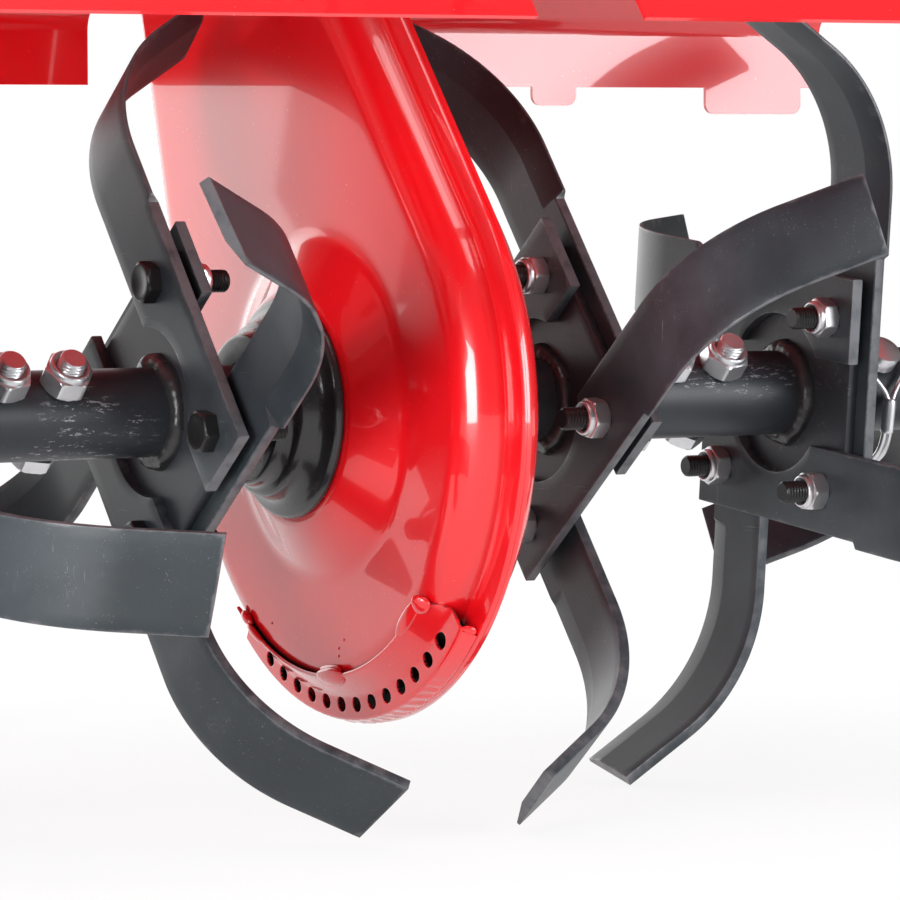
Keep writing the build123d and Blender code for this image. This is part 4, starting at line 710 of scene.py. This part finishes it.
# The tine bolts are black hex screws with their heads outwards.
# Bright zinc lock nuts with rounded collars hold them on the inner face.
bolt_ring, bolt_round, bolt_flats, bolt_head, bolt_tail = 78.1 / 2 ** 0.5, 5.0, 16.0, 6.4, 20.0
nut_height, nut_collar = 7.6, 2.6
stack_half = 7.5


def stand(grid, seat, way, spin=0.0):
    """Turns a local grid so that its third axis points the given way from the seat."""
    way = np.asarray(way, float) / np.linalg.norm(way)
    first = np.cross(way, (0.0, 0.0, 1.0) if abs(way[2]) < 0.9 else (1.0, 0.0, 0.0))
    first = first / np.linalg.norm(first)
    second = np.cross(way, first)
    c, s = np.cos(spin), np.sin(spin)
    first, second = first * c + second * s, second * c - first * s
    return seat + grid[..., :1] * first + grid[..., 1:2] * second + grid[..., 2:] * way


def ringed(radius, level):
    """Rings about the third axis: radius is a grid over rows and angles, level one height for each row."""
    turn = np.linspace(0, 2 * np.pi, radius.shape[1])
    return np.stack(np.broadcast_arrays(radius * np.cos(turn), radius * np.sin(turn), level[:, None]), -1)


def hexagon(flats):
    """Radius of a hexagon with slightly rounded corners: half the flats over the cosine to the nearest flat."""
    turn = np.linspace(0, 2 * np.pi, 97)
    off = (turn + np.pi / 6) % (np.pi / 3) - np.pi / 6
    return np.minimum(flats / 2 / np.cos(off), flats / 2 * 1.135)


def hex_head(flats, height):
    """Hex head: the hexagon is cut by a 30 degree cone at its top, and its crown sinks a little."""
    level = np.r_[0, 0, np.linspace(0.35, 1.0, 8) * height, height, height, height - 0.25, height - 0.3]
    cone = np.r_[np.full(2, np.inf), flats * 0.47 + (height - level[2:10]) * 1.73, np.full(4, np.inf)]
    radius = np.minimum(hexagon(flats)[None], cone[:, None])
    radius[0] = 0.0
    radius[-4:] = flats * np.array([0.455, 0.36, 0.32, 0.0])[:, None]
    return ringed(radius, level)


def lock_nut(flats, height, collar, bore):
    """Lock nut: a hexagon coned at both ends, then a collar that curves in to the thread."""
    bend = np.linspace(0, np.pi / 2, 7)
    neck = flats * 0.475
    bottom, top = np.r_[0.5, 1.0, 1.4], np.r_[1.6, 1.0, 0.4]
    crown = np.r_[0.25 + 0.75 * np.sin(bend), 0.55, 0.2] * collar
    level = np.r_[0, 0, bottom, height - top, height, height, height + crown]
    cone = np.r_[flats / 2, flats / 2, flats / 2 + np.r_[bottom, top] * 1.4, flats * 0.47]
    radius = np.minimum(hexagon(flats)[None], cone[:, None])
    radius[0] = bore
    round_part = np.r_[neck, neck - 0.5 * collar * (1 - np.cos(bend)), bore + 0.6, bore]
    rings = np.broadcast_to(round_part[:, None], (len(round_part), radius.shape[1]))
    return ringed(np.concatenate([radius, rings]), level)


def thread(radius, start, end, pitch, depth):
    """Screw end: the radius dips along a helix, as a wave of height minus angle, and tapers at the tip."""
    turn = np.linspace(0, 2 * np.pi, 33)
    level = np.linspace(start, end, int((end - start) / pitch * 6))
    wave = (level[:, None] / pitch - turn / (2 * np.pi)) % 1.0
    r = radius - depth * (1 - np.abs(2 * wave - 1))
    r = np.minimum(r, radius - 1.1 + (end - level)[:, None] * 1.1)
    centre = np.zeros((1, len(turn)))
    r = np.concatenate([centre, r, centre])
    return ringed(r, np.r_[start, level, end])


black_bolt, shader, place = new_finish("black_bolt")
oil = place.noise(90.0, 5.0)
dress(shader, {
    "Base Color": oil.blend(colour(0.006, 0.006, 0.007), colour(0.020, 0.020, 0.021)),
    "Roughness": 0.26 + oil * 0.16,
    "Normal": place.noise(800.0, 3.0).bump(0.08, 0.0002),
    "Metallic": 0.2,
})
zinc, shader, place = new_finish("zinc")
mottle = place.noise(160.0, 5.0)
dull = place.noise(35.0, 3.0)
dress(shader, {
    "Base Color": mottle.blend(colour(0.58, 0.58, 0.60), colour(0.80, 0.80, 0.82)),
    "Roughness": 0.26 + dull * 0.16,
    "Metallic": 0.92,
    "Normal": place.noise(900.0, 2.0).bump(0.05, 0.0001),
})
head_shape = hex_head(bolt_flats, bolt_head)
nut_shape = lock_nut(bolt_flats, nut_height, nut_collar, bolt_round)
screw_shape = thread(bolt_round, 0.5, bolt_tail, 1.5, 0.7)
heads, nuts = [], []
for side in (-1, 1):
    for x, first in zip(plate_places, plate_angles[side]):
        for quarter in range(4):
            turn = np.radians(first + 45 + 90 * quarter)
            middle = np.array([side * x, bolt_ring * np.cos(turn), bolt_ring * np.sin(turn)])
            twist = 1.7 * quarter + 0.9 * side + 0.013 * x
            outside, inside = middle + (side * stack_half, 0, 0), middle - (side * stack_half, 0, 0)
            heads.append((stand(head_shape, outside, (side, 0, 0), twist), 0))
            heads.append((stand(screw_shape, inside, (-side, 0, 0), twist), 0))
            nuts.append((stand(nut_shape, inside, (-side, 0, 0), 2.1 * twist), 0))
make_piece("tine_screws", heads, [black_bolt], "rotor", ["tine_bolts"], 30.0)
make_piece("tine_lock_nuts", nuts, [zinc], "rotor", ["tine_nuts"], 30.0)


# Two zinc through-bolts clamp each inner tube to the shaft.
# Their heads are underneath and their lock nuts are on the upper front side.
hub_round, hub_flats, hub_head, hub_nut, hub_tail = 6.0, 19.0, 7.5, 9.5, 4.0
hub_way = np.array([0.0, np.cos(np.radians(hub_angle)), np.sin(np.radians(hub_angle))])
hub_head_shape = hex_head(hub_flats, hub_head)
hub_nut_shape = lock_nut(hub_flats, hub_nut, nut_collar, hub_round)
hub_screw_shape = thread(hub_round, -5.0, hub_nut + nut_collar + hub_tail, 1.75, 0.9)
clamps = []
for side in (-1, 1):
    for x in hub_places:
        middle = np.array([side * x, 0.0, 0.0])
        clamps.append((stand(hub_head_shape, middle - hub_way * tube_round, -hub_way, 0.2 * x), 0))
        clamps.append((stand(hub_nut_shape, middle + hub_way * tube_round, hub_way, 0.31 * x), 0))
        clamps.append((stand(hub_screw_shape, middle + hub_way * tube_round, hub_way, 0.0), 0))
make_piece("hub_clamps", clamps, [zinc], "rotor", ["hub_fasteners"], 30.0)


# A zinc lock pin goes through both tubes of each side.
# A spring-wire bail hinges at its head, runs doubled through a crimped sleeve and loops under the tube.
wire_round, sleeve_round, wire_pair = 1.3, 3.2, 1.5


def about(angle, r, x):
    """Point at an angle in degrees about the shaft, a radius away, at an X."""
    turn = np.radians(angle)
    return np.stack(np.broadcast_arrays(x, r * np.cos(turn), r * np.sin(turn)), -1)


def piped(path, radius, count=16):
    """Round section carried along a path: its two directions are square to the path, the first nearest to X."""
    path = np.asarray(path, float)
    way = np.gradient(path, axis=0)
    way = way / np.linalg.norm(way, axis=1)[:, None]
    first = np.array([1.0, 0.0, 0.0]) - way * way[:, :1]
    first = np.where(np.linalg.norm(first, axis=1)[:, None] < 0.2, np.cross(way, (0.0, 0.7, 0.7)), first)
    first = first / np.linalg.norm(first, axis=1)[:, None]
    second = np.cross(way, first)
    turn = np.linspace(0, 2 * np.pi, count + 1)
    grow = np.r_[0.0, radius * np.ones(len(path)), 0.0][:, None, None]
    spread = first[:, None] * np.cos(turn)[:, None] + second[:, None] * np.sin(turn)[:, None]
    path = np.concatenate([path[:1], path, path[-1:]])
    return path[:, None] + grow * np.concatenate([spread[:1], spread, spread[-1:]])


def flowing(points):
    """Smooth line through points: a cubic between each two, with the slope of its neighbours at both ends."""
    points = np.asarray(points, float)
    padded = np.concatenate([2 * points[:1] - points[1:2], points, 2 * points[-1:] - points[-2:-1]])
    place = np.linspace(0, len(points) - 1 - 1e-6, 140)
    k = place.astype(int)
    t = (place - k)[:, None]
    a, b, c, d = padded[k], padded[k + 1], padded[k + 2], padded[k + 3]
    square, cube = 2 * a - 5 * b + 4 * c - d, 3 * b - a - 3 * c + d
    return 0.5 * (2 * b + (c - a) * t + square * t ** 2 + cube * t ** 3)


pin_profile = np.array([
    (0.0, -22.0), (4.2, -22.0), (5.0, -21.0), (5.0, 19.2), (7.4, 19.2),
    (8.0, 19.8), (8.0, 26.5), (7.7, 27.2), (7.0, 27.5), (0.0, 27.5),
])
pin_shape = ringed(np.broadcast_to(pin_profile[:, :1], (len(pin_profile), 49)), pin_profile[:, 1])
lead_turns = (
    (hub_angle, 23.0, 8.3), (hub_angle + 1.0, 23.1, 9.5), (hub_angle + 6.0, 23.0, 10.2), (156.0, 23.2, 9.8),
)
sleeve_turns = ((187.3, 23.7), (221.7, 28.1))
loop_turns = ((241.0, 32.5), (262.0, 34.0), (283.0, 32.5), (300.0, 28.6))
close_turns = ((303.5, 27.9, 0.8), (304.0, 27.8, 0.0))
pins = []
for side, name in ((-1, "right"), (1, "left")):
    x = side * pin_place
    pins.append((stand(pin_shape, np.array([x, 0.0, 0.0]), hub_way), 0))
    sleeve = np.array([about(angle, r, x) for angle, r in sleeve_turns])
    bail = []
    for way in (-1, 1):
        lead = [about(angle, r, x + way * spread) for angle, r, spread in lead_turns]
        doubled = [end + (way * wire_pair, 0, 0) for end in sleeve]
        loop = [about(angle, r, x + way * wire_pair) for angle, r in loop_turns]
        close = [about(angle, r, x + way * spread) for angle, r, spread in close_turns]
        bail.append((piped(flowing(lead + doubled + loop + close), wire_round), 0))
    share = np.r_[0.0, 0.04, 0.10, 0.20, np.linspace(0.3, 0.9, 5), 0.96, 1.0][:, None]
    crimp = sleeve_round * np.r_[0.80, 0.93, 0.99, 1.0, np.ones(5), 0.98, 0.90]
    bail.append((piped(sleeve[0] + (sleeve[1] - sleeve[0]) * share, crimp, 32), 0))
    make_piece(f"{name}_bail_wire", bail, [zinc], f"{name}_bail", [f"{name}_lock_bail"])
make_piece("tube_lock_pins", pins, [zinc], "rotor", ["lock_pins"], 30.0)


# The rest of the machine keeps its CAD shapes.
# Sheet metal is red or black, castings are bare aluminium, and the covers are moulded.
def cad_finish(name, low, high, rough, metal, grain, depth):
    """Finish between two colours in clouds, with its own roughness, metal share and fine grain."""
    made, shader, place = new_finish(name)
    cloud = place.noise(18.0, 5.0)
    dress(shader, {
        "Base Color": cloud.blend(colour(*low), colour(*high)),
        "Roughness": rough + cloud * 0.12,
        "Normal": place.noise(grain, 3.0).bump(0.15, depth),
        "Metallic": metal,
    })
    return made


satin_black = cad_finish("satin_black", (0.010, 0.010, 0.011), (0.024, 0.024, 0.026), 0.30, 0.0, 500.0, 0.0002)
ground_steel = cad_finish("ground_steel", (0.40, 0.40, 0.41), (0.55, 0.55, 0.56), 0.26, 1.0, 700.0, 0.0001)
soft_rubber = cad_finish("soft_rubber", (0.014, 0.014, 0.014), (0.028, 0.028, 0.028), 0.62, 0.0, 350.0, 0.0004)
pulley_iron = cad_finish("pulley_iron", (0.10, 0.10, 0.105), (0.20, 0.20, 0.21), 0.38, 0.8, 420.0, 0.0002)
cast_metal = cad_finish("cast_metal", (0.42, 0.43, 0.44), (0.60, 0.61, 0.62), 0.40, 0.9, 380.0, 0.0004)
heat_black = cad_finish("heat_black", (0.020, 0.019, 0.018), (0.045, 0.041, 0.038), 0.55, 0.3, 300.0, 0.0003)
moulded_black = cad_finish("moulded_black", (0.012, 0.012, 0.013), (0.022, 0.022, 0.023), 0.45, 0.0, 650.0, 0.0002)
tread_rubber = cad_finish("tread_rubber", (0.012, 0.012, 0.012), (0.026, 0.025, 0.024), 0.72, 0.0, 260.0, 0.0005)
finish_of_slot = {
    "red_paint": red_paint,
    "black_paint": satin_black,
    "zinc": zinc,
    "bare_steel": ground_steel,
    "seal_rubber": soft_rubber,
    "cast_pulley": pulley_iron,
    "cast_aluminium": cast_metal,
    "dark_steel": heat_black,
    "black_plastic": moulded_black,
    "tyre_rubber": tread_rubber,
    "tine_steel": tine_black,
    "gloss_black": gloss_black,
}
for entry in frame["record"]["subparts"]:
    node = frame["nodes"][entry["node"]]
    node.data.materials.clear()
    node.data.materials.append(finish_of_slot[entry["material_slot"]])
